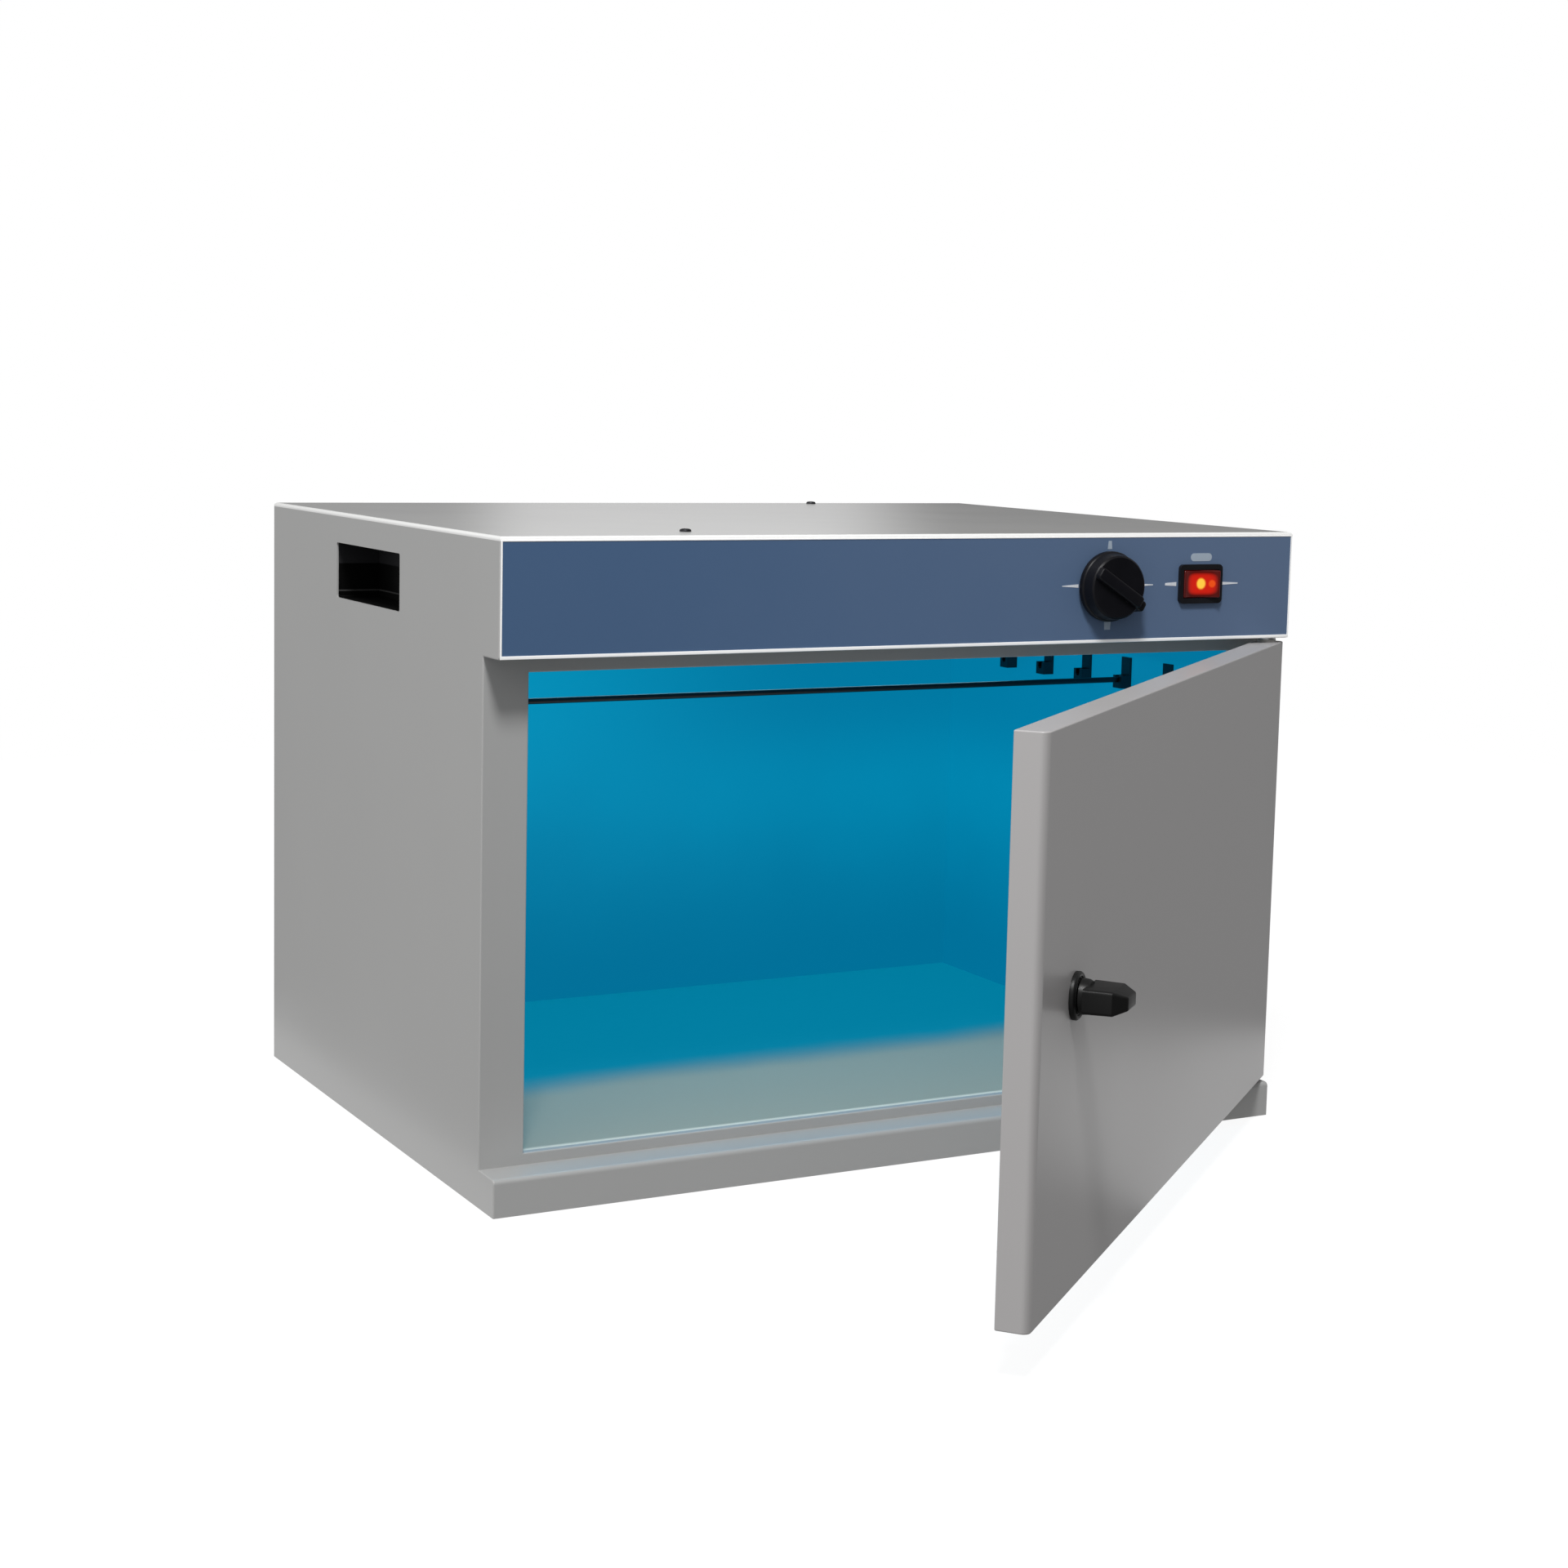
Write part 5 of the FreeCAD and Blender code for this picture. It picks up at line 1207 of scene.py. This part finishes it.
@dataclass
class MainsInlet(Assembly):
    """Appliance inlet on the back panel."""

    screw_x: tuple[float, float] = (185.0, 225.0)
    screw_z: float = 362.0
    flange: float = 213.0

    def dress(self) -> None:
        """Black moulding."""
        self.coat(Shop.SOCKET, "power_inlet")

    def build(self) -> None:
        """The two screws of its flange."""
        made = CrossScrew(head=3.0, rise=1.6).placed(
            at(x, self.flange, self.screw_z) @ turn("X", -90.0) @ turn("Z", x) for x in self.screw_x
        )
        self.fit(made.piece("inlet_flange_screws", Shop.ZINC), "cabinet", "fixings", "inlet_screws")


@dataclass
class Viewpoint:
    """The camera, from a fit to the cabinet's corners in a square picture."""

    place: Triple = (-861.9, -1622.8, 484.1)
    yaw: float = 28.37
    pitch: float = -6.66
    roll: float = -1.30
    focal: float = 3265.5
    side: float = 1920.0
    centre: Point = (960.0, 864.0)
    sensor: float = 36.0
    clip: Point = (0.05, 50.0)

    def set_up(self) -> None:
        """Makes the scene's camera."""
        yaw, pitch, roll = (radians(each) for each in (self.yaw, self.pitch, self.roll))
        ahead = Vector((sin(yaw) * cos(pitch), cos(yaw) * cos(pitch), sin(pitch)))
        right = Vector((cos(yaw), -sin(yaw), 0.0))
        down = ahead.cross(right)
        right, down = cos(roll) * right + sin(roll) * down, cos(roll) * down - sin(roll) * right
        data = bpy.data.cameras.new("studio_camera")
        data.sensor_width = self.sensor
        data.lens = self.focal / self.side * self.sensor
        data.shift_x = (self.side / 2 - self.centre[0]) / self.side
        data.shift_y = (self.centre[1] - self.side / 2) / self.side
        data.clip_start, data.clip_end = self.clip
        camera = linked("studio_camera", data)
        axes = Matrix((right, -down, -ahead)).transposed().to_4x4()
        camera.matrix_world = Matrix.Translation(Vector(self.place) * MM) @ axes
        bpy.context.scene.camera = camera


@dataclass(frozen=True)
class StudioFloor(Finish):
    """Pale seamless paper."""

    glow: float
    base: Pair = ((0.14, 0.14, 0.14), (0.16, 0.16, 0.16))

    def wire(self, shader: Shader) -> None:
        """Almost even, with a faint fibre."""
        fibre = shader.noise(size=3.0, detail=3.0)
        shader.coat({
            "Base Color": shader.mix(fibre, *self.base),
            "Roughness": 0.9,
            "Emission Color": WHITE_LIGHT,
            "Emission Strength": self.glow,
        })


@dataclass
class Studio:
    """Floor, sky and lamps; the parts of the sky have strengths, and the panel's edges are bearings."""

    floor_size: float = 3600.0
    floor_drop: float = 0.3
    floor_glow: float = 0.90
    card_low: Point = (-320.0, -380.0)
    card_high: Point = (500.0, 420.0)
    card_drop: float = 0.5
    card_glow: float = 0.85
    ambient: float = 0.07
    left_high: float = 0.60
    left_low: float = 0.32
    overhead: float = 0.35
    underneath: float = 0.08
    right: float = 0.34
    beside: float = 0.13
    panel: float = 0.72
    panel_left: Point = (21.0, 23.0)
    panel_right: Point = (32.0, 29.0)
    key_from: Triple = (-0.289, -0.551, 0.782)
    key_to: Triple = (0.0, 0.0, 0.2)
    key_far: float = 2.4
    key_size: float = 0.45
    key_power: float = 34.0
    slot_place: Triple = (0.0, 0.0016, 0.319)
    slot_size: Point = (0.42, 0.03)
    slot_power: float = 0.05
    slot_colour: Colour = (0.02, 0.60, 1.0)

    def set_up(self) -> None:
        """Makes the studio round the cabinet."""
        self._floor()
        self._card()
        self._sky()
        self._key()
        self._chamber_light()
        bpy.context.scene.view_settings.view_transform = "Standard"

    def _floor(self) -> None:
        """A pale sheet under the cabinet."""
        sheet = Blank()
        sheet.plate(self.floor_size, self.floor_size, corner=400.0, segments=12)
        sheet.moved(at(0, 0, -self.floor_drop))
        floor = sheet.piece("studio_floor", StudioFloor("studio_paper", self.floor_glow))
        floor.visible_diffuse = floor.visible_glossy = False

    def _card(self) -> None:
        """The lit part of the floor, which shows only as a reflection in the enamel."""
        (left, front), (right, back) = self.card_low, self.card_high
        sheet = Blank()
        sheet.plate(right - left, back - front, corner=30.0)
        sheet.moved(at((left + right) / 2, (front + back) / 2, -self.card_drop))
        card = sheet.piece("studio_card", StudioFloor("studio_card_paper", self.card_glow))
        card.visible_camera = card.visible_diffuse = card.visible_transmission = False
        card.visible_shadow = False

    def _sky(self) -> None:
        """White behind the cabinet, brighter on its left and above, with a panel behind it."""
        world = bpy.data.worlds.new("studio_sky")
        world.use_nodes = True
        bpy.context.scene.world = world
        shader = Shader(world.node_tree)
        x, y, z = shader.split(shader.node("ShaderNodeTexCoord").outputs["Generated"])
        bearing = x.angle_from(y) * (180.0 / pi)
        horizon = z.rise(0.5, 0.2)
        panel = bearing.rise(*self.panel_left) * bearing.rise(*self.panel_right) * horizon
        beside = bearing.rise(*reversed(self.panel_left)) * y.rise(0.3, 0.9) * horizon
        left = x.rise(0.0, -0.8)
        light = (
            self.ambient + self.left_high * left * z.rise(-0.5, 0.0)
            + self.left_low * left * z.rise(0.0, -0.5)
            + self.overhead * z.rise(0.1, 0.9) + self.underneath * z.rise(0.0, -0.6)
            + self.right * x.rise(0.65, 0.95) + self.beside * beside + self.panel * panel
        )
        seen = Value(shader, shader.node("ShaderNodeLightPath").outputs["Is Camera Ray"])
        background = world.node_tree.nodes["Background"].inputs
        shader.plug(background["Color"], WHITE_LIGHT)
        shader.plug(background["Strength"], seen + (1.0 - seen) * light)

    def _key(self) -> None:
        """A softbox above the front, a little to the left."""
        data = bpy.data.lights.new("key_softbox", "AREA")
        data.shape, data.size, data.energy = "DISK", self.key_size, self.key_power
        lamp = linked("key_softbox", data)
        towards = Vector(self.key_from).normalized()
        lamp.location = towards * self.key_far + Vector(self.key_to)
        lamp.rotation_euler = towards.to_track_quat("Z", "Y").to_euler()

    def _chamber_light(self) -> None:
        """The lamp's blue light under the slot in the chamber's ceiling."""
        data = bpy.data.lights.new("chamber_glow", "AREA")
        data.shape, (data.size, data.size_y) = "RECTANGLE", self.slot_size
        data.energy, data.color = self.slot_power, self.slot_colour
        linked("chamber_glow", data).location = self.slot_place


def main() -> None:
    """Builds and dresses the assemblies in order, then sets the studio and the camera."""
    logging.basicConfig(level=logging.INFO, format="%(name)s: %(message)s")
    for assembly in (Cabinet(), ControlHead(), Chamber(), Door(), MainsInlet()):
        assembly.dress()
        assembly.build()
    Studio().set_up()
    Viewpoint().set_up()


if __name__ == "__main__":
    main()
